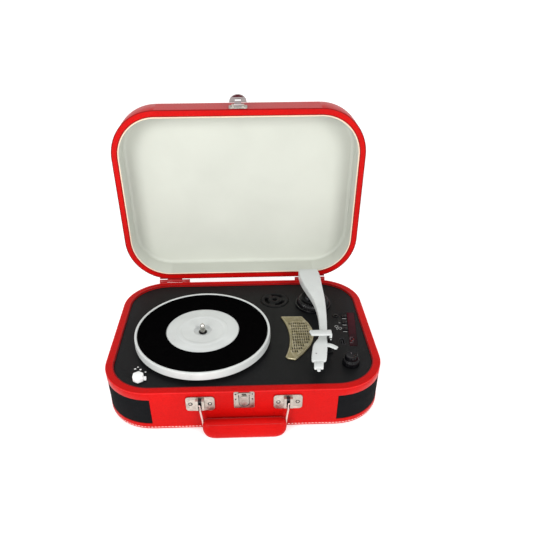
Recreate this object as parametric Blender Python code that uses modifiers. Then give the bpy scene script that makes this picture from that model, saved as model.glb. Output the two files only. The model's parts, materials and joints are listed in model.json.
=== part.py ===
"""Portable suitcase record player, lid open, built from its separate pieces.

Metres, +Z up, +Y to the rear. The origin is the centre of the case's underside. Lid, hasp
tongue and handle are drawn as they lie on a closed case, and the empty on each one's axis
turns it to its place at rest.
"""

import math

import bmesh
import bpy
from mathutils import Matrix, Vector

MM = 0.001
GAP = 0.3 * MM  # between pieces that touch

# Case
CASE_WIDTH = 355 * MM
CASE_DEPTH = 258 * MM
CASE_HEIGHT = 60.5 * MM
CASE_CORNER = 62.5 * MM
RIM = 10.5 * MM  # wall seen at the rim
WALL = 14 * MM  # wall below the ledge that carries the deck
DECK_TOP = 58.8 * MM
DECK_THICKNESS = 2.5 * MM
BOTTOM_THICKNESS = 4 * MM
EDGE_ROUND = 2.2 * MM
FRONT = -CASE_DEPTH / 2
REAR = CASE_DEPTH / 2
CORNER_STEPS = 12
ARC_X = CASE_WIDTH / 2 - CASE_CORNER  # centres of the front corner arcs
ARC_Y = FRONT + CASE_CORNER

# Speakers in the two front corners
GRILLE_LOW = 10 * MM
GRILLE_HIGH = 49 * MM
GRILLE_THICKNESS = 2 * MM
SPEAKER_Z = 29.5 * MM
SPEAKER_REACH = 41 * MM  # corner arc's centre to the speaker's flange

# Lid, drawn closed
LID_DEPTH = 40 * MM
LID_CORNER = 64.8 * MM
LID_GAP = 1 * MM
LID_LOW = CASE_HEIGHT + LID_GAP
LID_HIGH = LID_LOW + LID_DEPTH
LID_WALL = 8.6 * MM
LID_PANEL = 2.4 * MM
LINING_WALL = 1.7 * MM
LINING_PANEL = 1.3 * MM
LID_OPEN = math.radians(90)
LID_AXIS = Vector((0, REAR + 3.5 * MM, CASE_HEIGHT + 0.5 * MM))

# Rear hinges
HINGE_X = 108 * MM
HINGE_LENGTH = 48 * MM
HINGE_LEAF = 16 * MM
LEAF_THICKNESS = 1.2 * MM
KNUCKLE = 2.4 * MM

# Latch and hasp at the middle of the front
LATCH_HALF = 12.5 * MM
LATCH_LOW = 34.7 * MM
LATCH_HIGH = 60.3 * MM
LEVER_HALF = 6.5 * MM
LEVER_LOW = 39 * MM
LEVER_AXIS = Vector((0, FRONT - 2.7 * MM, 58.2 * MM))
HASP_AXIS = Vector((0, FRONT - 5.2 * MM, 63.6 * MM))
TONGUE_HALF = 11.6 * MM
TONGUE_LENGTH = 16.4 * MM
TONGUE_TURN = math.radians(140)  # from folded back to latched

# Handle
HANDLE_AXIS = Vector((0, FRONT - 4.5 * MM, 43.2 * MM))
HANDLE_TILT = math.radians(11.6)
HANDLE_HALF = 53.8 * MM
HANDLE_DROP = 33.7 * MM
WIRE = 1.5 * MM
BRACKET_X = 53.5 * MM
GRIP_THICKNESS = 18.4 * MM

# Turntable
PLATTER_AT = Vector((-54.4 * MM, -19.8 * MM, 0))
HUB_RADIUS = 62 * MM
PULLEY_RADIUS = 4 * MM
PULLEY_REACH = 75 * MM
PULLEY_BEARING = math.radians(225)
BELT_THICKNESS = 0.9 * MM
PULLEY_AT = PLATTER_AT + PULLEY_REACH * Vector((math.cos(PULLEY_BEARING), math.sin(PULLEY_BEARING), 0))

# Tonearm
ARM_AT = Vector((105 * MM, 60 * MM, 0))
ARM_PIVOT_Z = 84 * MM
CHEEK_OFFSET = 7.2 * MM  # arm's middle to the middle of a yoke cheek
REST_AT = Vector((113.8 * MM, -53 * MM, 81 * MM))  # axis of the clip on the arm rest

# Controls on the deck
ADAPTER_AT = Vector((48.5 * MM, 73.5 * MM, 0))
ADAPTER_RADIUS = 20.4 * MM
SPEED_AT = Vector((-130 * MM, -103 * MM, 0))
VOLUME_AT = Vector((137.7 * MM, -80 * MM, 0))
JACK_AT = Vector((134.3 * MM, 27.4 * MM, 0))
USB_AT = Vector((134.6 * MM, -33 * MM, 0))
WINDOW_AT = Vector((152.7 * MM, -4.2 * MM, 0))
WINDOW_WIDTH = 10.6 * MM
WINDOW_LENGTH = 79 * MM
STRIP_TURN = math.radians(-6.6)  # the window and its buttons lean to the right
BUTTON_OFFSET = -9.8 * MM
BUTTON_STEPS = (28.5 * MM, 13 * MM, -2.5 * MM)
BUTTON_WIDTH = 7 * MM
BUTTON_LENGTH = 5.4 * MM
PLAYER_BUTTONS = ("button_back", "button_play", "button_next")

# Sockets in the rear wall
SOCKET_Z = 30 * MM
SOCKETS = {"power_inlet": -62 * MM, "line_out_left": -36 * MM, "line_out_right": -18 * MM}


def clear_scene():
    for found in list(bpy.data.objects):
        bpy.data.objects.remove(found, do_unlink=True)


def new_collection(name):
    made = bpy.data.collections.new(name)
    bpy.context.scene.collection.children.link(made)
    return made


clear_scene()
PARTS = new_collection("suitcase_record_player")
CUTTERS = new_collection("cutters")
CUTTERS.hide_render = True


def material(name, colour, roughness, metallic=0.0):
    """The named Principled material, made once."""
    if name in bpy.data.materials:
        return bpy.data.materials[name]
    made = bpy.data.materials.new(name)
    made.use_nodes = True
    shader = made.node_tree.nodes["Principled BSDF"]
    shader.inputs["Base Color"].default_value = (*colour, 1.0)
    shader.inputs["Roughness"].default_value = roughness
    shader.inputs["Metallic"].default_value = metallic
    made.diffuse_color = (*colour, 1.0)
    return made


RED = material("red_leatherette", (0.75, 0.012, 0.01), 0.45)
LINING = material("cream_lining", (0.79, 0.81, 0.70), 0.6)
BLACK = material("black_plastic", (0.02, 0.02, 0.022), 0.5)
GLOSSY_BLACK = material("glossy_black_plastic", (0.01, 0.01, 0.011), 0.15)
WHITE = material("white_plastic", (0.83, 0.84, 0.83), 0.25)
CHROME = material("chrome", (0.75, 0.75, 0.74), 0.12, 1.0)
STEEL = material("steel", (0.55, 0.55, 0.56), 0.3, 1.0)
ENAMEL = material("red_enamel", (0.35, 0.008, 0.008), 0.35)
RUBBER = material("black_rubber", (0.015, 0.015, 0.015), 0.8)
FELT = material("black_felt", (0.004, 0.004, 0.004), 0.95)
CLOTH = material("speaker_cloth", (0.012, 0.013, 0.015), 0.9)
GOLD = material("gold_grille", (0.27, 0.24, 0.12), 0.4, 0.6)
BOARD = material("fibreboard", (0.08, 0.05, 0.03), 0.8)
CIRCUIT = material("circuit_green", (0.02, 0.16, 0.05), 0.4)
MAROON = material("display_maroon", (0.035, 0.003, 0.008), 0.08)


def pivot(name, at, turn=(0.0, 0.0, 0.0), parent=None):
    """An empty on a joint's axis, drawn at its place on the closed case."""
    empty = bpy.data.objects.new(name, None)
    PARTS.objects.link(empty)
    empty.location = at
    empty.rotation_euler = turn
    hang(empty, parent)
    return empty


def hang(thing, parent):
    """Parents thing so that it keeps the place it was drawn at until the parent turns."""
    if parent:
        thing.parent = parent
        thing.matrix_parent_inverse = Matrix.Translation(-parent.location)


def add(name, mesh, finish, parent=None, at=(0, 0, 0)):
    made = bpy.data.objects.new(name, mesh)
    made.location = at
    PARTS.objects.link(made)
    mesh.materials.append(finish)
    hang(made, parent)
    return made


def helper(part, mesh):
    """A hidden object that cuts or joins, moving with the part."""
    made = bpy.data.objects.new(part.name + "_tool", mesh)
    made.hide_render = True
    made.display_type = "WIRE"
    CUTTERS.objects.link(made)
    hang(made, part.parent)
    return made


def boolean(part, mesh, operation):
    tool = helper(part, mesh)
    step = part.modifiers.new(operation.lower(), "BOOLEAN")
    step.operation = operation
    step.object = tool
    return tool


def cut(part, *meshes):
    for mesh in meshes:
        boolean(part, mesh, "DIFFERENCE")
    return part


def fuse(part, *meshes):
    for mesh in meshes:
        boolean(part, mesh, "UNION")
    return part


def bevel(part, width, segments=2, angle=40):
    step = part.modifiers.new("bevel", "BEVEL")
    step.width = width
    step.segments = segments
    step.limit_method = "ANGLE"
    step.angle_limit = math.radians(angle)
    return part


def finished(bm, smooth=True):
    bmesh.ops.recalc_face_normals(bm, faces=bm.faces)
    if bm.calc_volume(signed=True) < 0:
        bmesh.ops.reverse_faces(bm, faces=bm.faces)
    mesh = bpy.data.meshes.new("shape")
    bm.to_mesh(mesh)
    bm.free()
    if smooth:
        mesh.shade_smooth()
        mesh.set_sharp_from_angle(angle=math.radians(35))
    return mesh


def joined(*meshes):
    """One mesh that holds several separate shapes."""
    bm = bmesh.new()
    for mesh in meshes:
        bm.from_mesh(mesh)
    return finished(bm)


def box(low, high, turn=0.0, about=None):
    bm = bmesh.new()
    bmesh.ops.create_cube(bm, size=1.0)
    low, high = Vector(low), Vector(high)
    size = high - low
    bmesh.ops.scale(bm, verts=bm.verts, vec=size)
    bmesh.ops.translate(bm, verts=bm.verts, vec=(low + high) / 2)
    if turn:
        centre = about or (low + high) / 2
        bmesh.ops.rotate(bm, verts=bm.verts, cent=centre, matrix=Matrix.Rotation(turn, 3, "Z"))
    return finished(bm)


def rod(radius, start, end, segments=16):
    """A cylinder between two points."""
    start, end = Vector(start), Vector(end)
    along = end - start
    bm = bmesh.new()
    bmesh.ops.create_cone(
        bm, cap_ends=True, segments=segments, radius1=radius, radius2=radius, depth=along.length
    )
    turn = along.to_track_quat("Z", "Y").to_matrix()
    bmesh.ops.rotate(bm, verts=bm.verts, matrix=turn)
    bmesh.ops.translate(bm, verts=bm.verts, vec=(start + end) / 2)
    return finished(bm)


AXES = {"Z": Matrix.Identity(3), "Y": Matrix(((1, 0, 0), (0, 0, 1), (0, 1, 0)))}


def prism(outline, low, high, axis="Z"):
    """A flat outline, XY or (for axis Y) XZ, pushed from low to high along the axis."""
    bm = bmesh.new()
    base = bm.faces.new([bm.verts.new((a, b, low)) for a, b in outline])
    top = bmesh.ops.extrude_face_region(bm, geom=[base])["geom"]
    moved = [v for v in top if isinstance(v, bmesh.types.BMVert)]
    bmesh.ops.translate(bm, verts=moved, vec=(0, 0, high - low))
    bmesh.ops.transform(bm, verts=bm.verts, matrix=AXES[axis].to_4x4())
    return finished(bm)


def arc(centre, radius, start, end, steps):
    """Points along an arc, angles in degrees."""
    points = []
    for i in range(steps + 1):
        angle = math.radians(start + (end - start) * i / steps)
        points.append((centre[0] + radius * math.cos(angle), centre[1] + radius * math.sin(angle)))
    return points


def rounded(width, depth, radius, steps=CORNER_STEPS, centre=(0, 0)):
    """A rectangle with round corners."""
    x, y = width / 2 - radius, depth / 2 - radius
    points = []
    for sx, sy, start in ((1, 1, 0), (-1, 1, 90), (-1, -1, 180), (1, -1, 270)):
        corner = (centre[0] + sx * x, centre[1] + sy * y)
        points += arc(corner, radius, start, start + 90, steps)
    return points


def case_outline(inset, radius=CASE_CORNER):
    return rounded(CASE_WIDTH - 2 * inset, CASE_DEPTH - 2 * inset, radius - inset)


def sector(centre, inner, outer, start, end, steps):
    """A slice of a ring."""
    return arc(centre, outer, start, end, steps) + arc(centre, inner, end, start, steps)


def turned(name, profile, finish, at, steps=48, parent=None, closed=False):
    """A profile of (radius, height) points, run down its outer side and spun round Z."""
    bm = bmesh.new()
    ring = [bm.verts.new((r, 0, z)) for r, z in profile]
    pairs = list(zip(ring, ring[1:]))
    if closed:
        pairs.append((ring[-1], ring[0]))
    for a, b in pairs:
        bm.edges.new((a, b))
    mesh = bpy.data.meshes.new("profile")
    bm.to_mesh(mesh)
    bm.free()
    made = add(name, mesh, finish, parent, at)
    step = made.modifiers.new("screw", "SCREW")
    step.steps = step.render_steps = steps
    step.use_merge_vertices = True
    step.merge_threshold = 0.00001
    step.use_smooth_shade = True
    return made


def loft(sections):
    """Sections of equal length joined into one closed skin."""
    bm = bmesh.new()
    rings = [[bm.verts.new(p) for p in section] for section in sections]
    for near, far in zip(rings, rings[1:]):
        for i, vert in enumerate(near):
            after = (i + 1) % len(near)
            bm.faces.new((vert, near[after], far[after], far[i]))
    bm.faces.new(rings[0])
    bm.faces.new(rings[-1])
    return finished(bm)


def mm(*values):
    return tuple(v * MM for v in values)


def mm_points(points):
    return [mm(*p) for p in points]


# ---------------------------------------------------------------- case


def make_case():
    shell = add("base_shell", prism(case_outline(0), 0, CASE_HEIGHT), RED)
    bevel(shell, EDGE_ROUND, 3)
    deck_low = DECK_TOP - DECK_THICKNESS
    cut(
        shell,
        prism(case_outline(RIM), deck_low - GAP, CASE_HEIGHT + 10 * MM),
        prism(case_outline(WALL), BOTTOM_THICKNESS, deck_low),
        prism(case_outline(RIM), -10 * MM, BOTTOM_THICKNESS + GAP),
    )
    for side, start in ((-1, 180), (1, 270)):
        centre = (side * ARC_X, ARC_Y)
        inner = CASE_CORNER - 2.6 * MM
        recess = sector(centre, inner, CASE_CORNER + 5 * MM, start, start + 90, CORNER_STEPS)
        mouth = sector(centre, CASE_CORNER - 18 * MM, CASE_CORNER - 1 * MM, start + 18, start + 72, 6)
        cut(shell, prism(recess, GRILLE_LOW - GAP, GRILLE_HIGH + GAP), prism(mouth, 15 * MM, 44 * MM))
    for x in SOCKETS.values():
        cut(shell, rod(4.4 * MM, (x, REAR - 20 * MM, SOCKET_Z), (x, REAR + 5 * MM, SOCKET_Z)))
    panel = add("bottom_panel", prism(case_outline(RIM + GAP), 0, BOTTOM_THICKNESS), BOARD)
    profile = mm_points(((0, 1.2), (7.5, 1.2), (7.5, -2.8), (7, -4), (0, -4)))
    for row, y in (("front", -92 * MM), ("rear", 92 * MM)):
        for side, x in (("left", -132 * MM), ("right", 132 * MM)):
            turned(f"foot_{row}_{side}", profile, RUBBER, (x, y, 0), 20)
            cut(panel, rod(7.9 * MM, (x, y, -1 * MM), (x, y, 1.5 * MM), 20))


def make_speakers():
    driver = mm_points(
        ((0, -4), (5, -6), (17, -1.2), (18, 0), (21, 0), (21, -2), (17.5, -2), (10, -11))
        + ((13, -11), (13, -18), (0, -18))
    )
    for name, side, start in (("left", -1, 180), ("right", 1, 270)):
        centre = Vector((side * ARC_X, ARC_Y, 0))
        outer = CASE_CORNER - GAP
        skin = sector(centre, outer - GRILLE_THICKNESS, outer, start + 0.4, start + 89.6, CORNER_STEPS)
        add(f"speaker_grille_{name}", prism(skin, GRILLE_LOW, GRILLE_HIGH), CLOTH)
        out = Vector((side, -1, 0)).normalized()
        at = centre + SPEAKER_REACH * out + Vector((0, 0, SPEAKER_Z))
        speaker = turned(f"speaker_driver_{name}", driver, BLACK, at, 16)
        speaker.rotation_euler = out.to_track_quat("Z", "Y").to_euler()


def strip_point(across, along):
    """A place on the leaning strip of window and buttons."""
    return WINDOW_AT + Matrix.Rotation(STRIP_TURN, 3, "Z") @ Vector((across, along, 0))


def strip_box(centre, width, length, low, high):
    half = Vector((width / 2, length / 2, 0))
    at = centre.xy.to_3d()
    up = Vector((0, 0, 1))
    return box(at - half + low * up, at + half + high * up, STRIP_TURN)


def button_places():
    return [strip_point(BUTTON_OFFSET, along) for along in BUTTON_STEPS]


# Deck grille: the platter's side is an arc, and these points (mm) run round the rest of its edge
GRILLE_REACH = 118 * MM
SLOT_LENGTH = 5 * MM
GRILLE_EDGE = (
    (55.6, -66.3), (57.5, -69.0), (67.4, -71.8), (79.5, -58.4), (90.1, -42.2), (94.4, -31.7), (96.8, -21.8),
    (97.4, -11.7), (96.2, -1.4), (93.0, 9.6), (87.9, 20.4), (84.6, 25.6), (55.5, 26.6),
)


def grille_outline():
    """The deck grille: a fan between the platter and the arm, its left side following the platter."""
    inner = arc(PLATTER_AT, GRILLE_REACH, 22.6, -22.4, 12)
    return inner + mm_points(GRILLE_EDGE)


def make_deck():
    low = DECK_TOP - DECK_THICKNESS
    deck = add("deck_plate", prism(case_outline(RIM + GAP), low, DECK_TOP), BLACK)
    bevel(deck, 0.5 * MM, 1)
    cup_top = low + 1 * MM
    cup_low, cup_high = ADAPTER_AT + lift(53), ADAPTER_AT + Vector((0, 0, cup_top))
    fuse(deck, rod(ADAPTER_RADIUS + 3 * MM, cup_low, cup_high, 40))
    above, below = lift(62), lift(50)

    def bore(at, radius, segments=16):
        return rod(radius, at + below, at + above, segments)

    holes = [
        rod(ADAPTER_RADIUS + 0.5 * MM, ADAPTER_AT + lift(54.5), ADAPTER_AT + above, 40),
        bore(PLATTER_AT, 8.4 * MM),
        bore(PULLEY_AT, 6 * MM),
        bore(SPEED_AT, 3 * MM),
        bore(VOLUME_AT, 3.3 * MM),
        bore(ARM_AT, 7.4 * MM),
        bore(JACK_AT, 3.7 * MM),
        box(USB_AT + below - Vector(mm(3.4, 7.4, 0)), USB_AT + above + Vector(mm(3.4, 7.4, 0))),
        strip_box(WINDOW_AT, WINDOW_WIDTH + 2 * GAP, WINDOW_LENGTH + 2 * GAP, 50 * MM, 62 * MM),
    ]
    for at in button_places():
        clear = 2 * GAP
        holes.append(strip_box(at, BUTTON_WIDTH + clear, BUTTON_LENGTH + clear, 50 * MM, 62 * MM))
    cut(deck, joined(*holes))


def lift(height_mm):
    return Vector((0, 0, height_mm * MM))


def make_deck_grille():
    outline = grille_outline()
    low, high = DECK_TOP + GAP, DECK_TOP + 2 * MM
    grille = add("deck_grille", prism(outline, low, high), GOLD)
    bevel(grille, 0.5 * MM, 1)
    slots = []
    for column in range(10):
        x = (64.6 + 3 * column) * MM
        for row in range(11):
            y = (-56.6 + 6.3 * row) * MM
            if slot_fits(x, y) and slot_fits(x, y + SLOT_LENGTH):
                slots.append(box((x, y, DECK_TOP - 1 * MM), (x + 1.5 * MM, y + SLOT_LENGTH, high + 2 * MM)))
    cut(grille, joined(*slots))


def slot_fits(x, y):
    """Whether a slot's corner at this place keeps clear of the grille's border."""
    nearest = (Vector((x, y, 0)) - PLATTER_AT).length
    widest = (97.4 - 0.0108 * (y / MM + 13) ** 2) * MM
    return nearest > GRILLE_REACH + 3.2 * MM and x < widest - 5 * MM and -57 * MM < y < 15 * MM


# ---------------------------------------------------------------- turntable


def make_turntable():
    axis = pivot("platter_axis", PLATTER_AT)
    platter = (
        (3.9, 70), (10.6, 70), (12.2, 74), (29, 74), (30, 74.4), (33, 74.4), (34, 74), (48.7, 74), (49, 73.2),
        (87.9, 73.2), (88.1, 74.7), (88.8, 75), (90.4, 75), (91.1, 74.4), (91.6, 64.4), (91, 64), (89.6, 64.3),
        (88.6, 71.4), (62, 71.4), (62, 64.6), (60, 64.6), (60, 71.4), (14, 71.4), (14, 66), (3.9, 66),
    )
    turned("platter", mm_points(platter), WHITE, PLATTER_AT, 48, axis, closed=True)
    mat = ((49.3, 74.6), (87.6, 74.6), (87.6, 73.5), (49.3, 73.5))
    turned("slipmat", mm_points(mat), FELT, PLATTER_AT, 48, axis, closed=True)
    spindle = ((0, 84.4), (1.4, 83.9), (3.1, 81.4), (3.5, 80), (3.5, 71.5))
    spindle += ((5.6, 71.5), (5.6, 70.4), (3.5, 70.4))
    spindle += ((3.5, 50.4), (0, 50.4))
    turned("platter_spindle", mm_points(spindle), CHROME, PLATTER_AT, 32, axis)
    bearing = ((0, 50), (3.9, 50), (3.9, 65.4), (7, 65.4), (8, 64.6), (8, 48), (0, 48))
    turned("platter_bearing", mm_points(bearing), STEEL, PLATTER_AT, 20)


def make_drive():
    motor = ((0, 50), (1.6, 50), (1.6, 55.8), (15, 55.8), (15, 36), (13, 34), (0, 34))
    turned("motor", mm_points(motor), STEEL, PULLEY_AT, 20)
    axis = pivot("motor_axis", PULLEY_AT)
    pulley = (
        (0, 69.3), (4.8, 69.3), (4.8, 68.4), (4, 68.4), (4, 64.6), (4.8, 64.6), (4.8, 63.7),
        (1.2, 63.7), (1.2, 50.4), (0, 50.4),
    )
    turned("motor_pulley", mm_points(pulley), BLACK, PULLEY_AT, 16, axis)
    belt = add("drive_belt", prism(belt_outline(GAP + BELT_THICKNESS), 65 * MM, 68 * MM), RUBBER)
    cut(belt, prism(belt_outline(GAP), 60 * MM, 70 * MM))


def belt_outline(clear):
    """The loop round the platter's hub and the pulley, this far off both."""
    hub, pulley = HUB_RADIUS + clear, PULLEY_RADIUS + clear
    bearing = math.degrees(PULLEY_BEARING)
    wrap = math.degrees(math.acos((hub - pulley) / PULLEY_REACH))
    loop = arc(PLATTER_AT, hub, bearing + wrap, bearing + 360 - wrap, 32)
    return loop + arc(PULLEY_AT, pulley, bearing - wrap, bearing + wrap, 6)


def make_adapter():
    axis = pivot("adapter_axis", ADAPTER_AT)
    puck = ((3.8, 60.4), (8, 60.4), (9, 59.2), (16, 59.2), (17, 60.4), (19.6, 60.4), (20.4, 59.6))
    puck += ((20.4, 55), (3.8, 55))
    adapter = turned("adapter_45", mm_points(puck), BLACK, ADAPTER_AT, 28, axis, closed=True)
    windows = []
    for turn in (30, 150, 270):
        outline = sector(ADAPTER_AT, 9.6 * MM, 15.6 * MM, turn, turn + 78, 5)
        windows.append(prism(outline, 50 * MM, 65 * MM))
    cut(adapter, joined(*windows))


# ---------------------------------------------------------------- tonearm

# Along the arm from its rear end: y, middle x, half width, top, underside (mm)
ARM_STATIONS = (
    (107.5, 101.0, 13.2, 92.4, 85.0),
    (103.0, 101.1, 14.8, 93.4, 83.6),
    (88.0, 101.8, 15.4, 93.4, 81.2),
    (72.0, 103.3, 13.9, 92.3, 79.6),
    (56.0, 105.5, 11.8, 90.6, 78.7),
    (40.0, 107.9, 9.7, 88.8, 78.0),
    (24.0, 109.4, 7.8, 87.0, 77.4),
    (4.0, 109.7, 6.3, 84.8, 76.9),
    (-16.0, 108.7, 5.5, 83.0, 76.4),
    (-36.0, 106.7, 5.1, 81.6, 76.0),
    (-50.0, 104.2, 5.7, 80.9, 75.8),
    (-58.0, 101.6, 7.7, 80.9, 75.8),
    (-68.0, 98.6, 9.4, 80.8, 75.8),
    (-92.5, 94.2, 9.5, 79.6, 76.0),
    (-98.0, 93.4, 7.2, 79.0, 76.4),
)


def arm_section(y, middle, half, top, low):
    slope, toe = min(2.4, 0.35 * half), 0.8
    flat = ((-half, low + toe), (toe - half, low), (half - toe, low), (half, low + toe))
    flat += ((half, top - slope), (half - slope, top), (slope - half, top), (-half, top - slope))
    return [Vector(mm(middle + x, y, z)) for x, z in flat]


def make_tonearm():
    swing = pivot("tonearm_swing_axis", ARM_AT)
    tilt = pivot("tonearm_lift_axis", ARM_AT + Vector((0, 0, ARM_PIVOT_Z)), parent=swing)
    turret = ((0, 60), (4.5, 60), (4.5, 69.6), (19, 69.6), (21.5, 68.6), (23.5, 65.6), (24.2, 62.6))
    turret += ((26.3, 61.6), (26.3, 59.1), (7, 59.1), (7, 49), (0, 49))
    turned("tonearm_turret", mm_points(turret), GLOSSY_BLACK, ARM_AT, 28)

    table = ((0, 73), (17.5, 73), (18.5, 72.2), (18.5, 70), (4, 70), (4, 60.5), (0, 60.5))
    yoke = turned("tonearm_yoke", mm_points(table), BLACK, ARM_AT, 24, swing)
    for side in (-1, 1):
        middle = ARM_AT + Vector((side * CHEEK_OFFSET, 0, 0))
        cheek = box(middle + Vector(mm(-1.3, -6, 72)), middle + Vector(mm(1.3, 6, 88.3)))
        fuse(yoke, cheek)
    reach = Vector(mm(14, 0, 0))
    cut(yoke, rod(1.6 * MM, tilt.location - reach, tilt.location + reach, 12))
    pin_reach = Vector(mm(8.8, 0, 0))
    pin = rod(1.2 * MM, tilt.location - pin_reach, tilt.location + pin_reach, 12)
    add("tonearm_pivot_pin", pin, STEEL, swing)

    arm = add("tonearm", loft([arm_section(*station) for station in ARM_STATIONS]), WHITE, tilt)
    finger = ((107, -60.8), (112, -62.6), (117, -65.4), (121.2, -68.6))
    finger += ((118.6, -76), (113.4, -72.8), (106, -70.4))
    fuse(arm, prism(mm_points(finger), 77 * MM, 79 * MM))
    slots = [rod(1.6 * MM, tilt.location - reach * 0.62, tilt.location + reach * 0.62, 12)]
    for side in (-1, 1):
        middle = ARM_AT + Vector((side * CHEEK_OFFSET, 0, 0))
        slots.append(box(middle + Vector(mm(-1.9, -8.5, 70)), middle + Vector(mm(1.9, 8.5, 89.2))))
    cut(arm, *slots)
    make_cartridge(tilt)


def make_cartridge(tilt):
    sections = []
    for y, middle, half, top, low in (
        (-98.4, 93.2, 5.9, 79.6, 76.2),
        (-104, 92.5, 5.9, 79.8, 76.1),
        (-109.5, 91.8, 5.7, 79.2, 76.1),
        (-111, 91.6, 5.2, 78.4, 76.3),
    ):
        sections.append(arm_section(y, middle, half, top, low))
    add("cartridge", loft(sections), WHITE, tilt)
    holder = box(mm(89.2, -115, 76.4), mm(93.6, -111.4, 78.2))
    stylus = add("stylus", holder, WHITE, tilt)
    fuse(stylus, rod(0.5 * MM, mm(91.4, -113.6, 75.6), mm(91.4, -113.6, 77), 8))


def make_arm_rest():
    rest = add("arm_rest", box(mm(100, -58.5, 59.1), mm(118.5, -47.5, 61.4)), BLACK)
    bevel(rest, 0.8 * MM, 2)
    post_half = 2 * MM
    x, y, z = REST_AT
    fuse(
        rest,
        box((x - post_half, y - 4.3 * MM, 61 * MM), (x + post_half, y + 4.3 * MM, z)),
        rod(post_half, (x, y - 4.3 * MM, z), (x, y + 4.3 * MM, z), 16),
        box((98 * MM, y - 3.5 * MM, 70 * MM), (x, y + 3.5 * MM, 75.3 * MM)),
    )
    cut(
        rest,
        box((x - 6 * MM, y - 2.1 * MM, z - 3 * MM), (x + 6 * MM, y + 2.1 * MM, z + 6 * MM)),
        rod(1.2 * MM, (x, y - 8 * MM, z), (x, y + 8 * MM, z), 12),
    )


def make_arm_clip():
    axis = pivot("arm_clip_axis", REST_AT)
    x, y, z = REST_AT
    band = ((114.8, -47.9), (87.2, -47.6), (85.8, -50), (88.2, -58.2), (114.8, -58.4))
    clip = add("arm_clip", prism(mm_points(band), 87.6 * MM, 90.2 * MM), WHITE, axis)
    bevel(clip, 0.8 * MM, 2)
    fuse(
        clip,
        box((x - 1.6 * MM, y - 5.3 * MM, z + 3 * MM), (x + 0.9 * MM, y + 4.9 * MM, 88.6 * MM)),
        box((x - 1.4 * MM, y - 1.7 * MM, z), (x + 0.8 * MM, y + 1.7 * MM, z + 4 * MM)),
        rod(1.9 * MM, (x, y - 1.7 * MM, z), (x, y + 1.7 * MM, z), 14),
        rod(0.9 * MM, (x, y - 4.6 * MM, z), (x, y + 4.6 * MM, z), 12),
    )


# ---------------------------------------------------------------- controls


def make_controls():
    speed_axis = pivot("speed_knob_axis", SPEED_AT)
    hexagon = rod(7.3 * MM, SPEED_AT + lift(60.2), SPEED_AT + lift(68.6), 6)
    knob = add("speed_knob", hexagon, WHITE, speed_axis)
    bevel(knob, 0.8 * MM, 2)
    nub = box(SPEED_AT + Vector(mm(3, -1.6, 60.4)), SPEED_AT + Vector(mm(9.6, 1.6, 64.4)))
    fuse(knob, nub, rod(2.6 * MM, SPEED_AT + lift(52), SPEED_AT + lift(61), 14))
    body = box(SPEED_AT + Vector(mm(-6, -5.5, 49.8)), SPEED_AT + Vector(mm(6, 4.5, 55.9)))
    switch = add("speed_switch", body, BLACK)
    cut(switch, rod(3 * MM, SPEED_AT + lift(51.4), SPEED_AT + lift(58), 14))

    volume_axis = pivot("volume_knob_axis", VOLUME_AT)
    knob = ((0, 73.2), (7.2, 73.2), (8, 72.4), (8.7, 67.2), (9.7, 66.8))
    knob += ((10.5, 65.8), (11.35, 61), (11.35, 59.4))
    knob += ((2.8, 59.4), (2.8, 50), (0, 50))
    turned("volume_knob", mm_points(knob), GLOSSY_BLACK, VOLUME_AT, 28, volume_axis)
    pot = ((0, 49), (3.2, 49), (3.2, 55.8), (8, 55.8), (8, 46), (0, 46))
    turned("volume_control", mm_points(pot), STEEL, VOLUME_AT, 20)

    window = strip_box(WINDOW_AT, WINDOW_WIDTH, WINDOW_LENGTH, 56.6 * MM, DECK_TOP + 0.4 * MM)
    bevel(add("display_window", window, MAROON), 0.3 * MM, 1)
    for name, at in zip(PLAYER_BUTTONS, button_places()):
        axis = pivot(name + "_axis", at)
        cap = strip_box(at, BUTTON_WIDTH, BUTTON_LENGTH, 55 * MM, DECK_TOP + 1.6 * MM)
        button = add(name, cap, GLOSSY_BLACK, axis)
        bevel(button, 0.5 * MM, 2)
        fuse(button, strip_box(at, BUTTON_WIDTH + 1.6 * MM, BUTTON_LENGTH + 1.6 * MM, 54.6 * MM, 55.9 * MM))

    jack = ((0, 49), (1.8, 49), (1.8, 60), (4.4, 60), (4.4, 59.1), (3.3, 59.1), (3.3, 47), (0, 47))
    turned("headphone_jack", mm_points(jack), GLOSSY_BLACK, JACK_AT, 20)
    shell = box(USB_AT + Vector(mm(-3.1, -7.1, 46.6)), USB_AT + Vector(mm(3.1, 7.1, 59)))
    usb = add("usb_socket", shell, STEEL)
    cut(usb, box(USB_AT + Vector(mm(-2.4, -6.3, 49)), USB_AT + Vector(mm(2.4, 6.3, 62))))
    fuse(usb, box(USB_AT + Vector(mm(-0.9, -5.6, 48)), USB_AT + Vector(mm(0.9, 5.6, 58))))
    add("circuit_board", box(mm(120, -47, 43.6), mm(160, 47, 45.2)), CIRCUIT)


def make_sockets():
    power = ((0, -1), (0.8, -1), (0.8, -10), (2.8, -10), (2.8, 1.6))
    power += ((6, 1.6), (6, 0.3), (4, 0.3), (4, -12), (0, -12))
    line = ((0, -6), (1.7, -6), (1.7, 8), (4, 8), (4, 1.6))
    line += ((6, 1.6), (6, 0.3), (4, 0.3), (4, -12), (0, -12))
    for name, x in SOCKETS.items():
        profile = power if name == "power_inlet" else line
        socket = turned(name, mm_points(profile), GLOSSY_BLACK, (x, REAR, SOCKET_Z), 16)
        socket.rotation_euler = (-math.pi / 2, 0, 0)


# ---------------------------------------------------------------- lid


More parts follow.
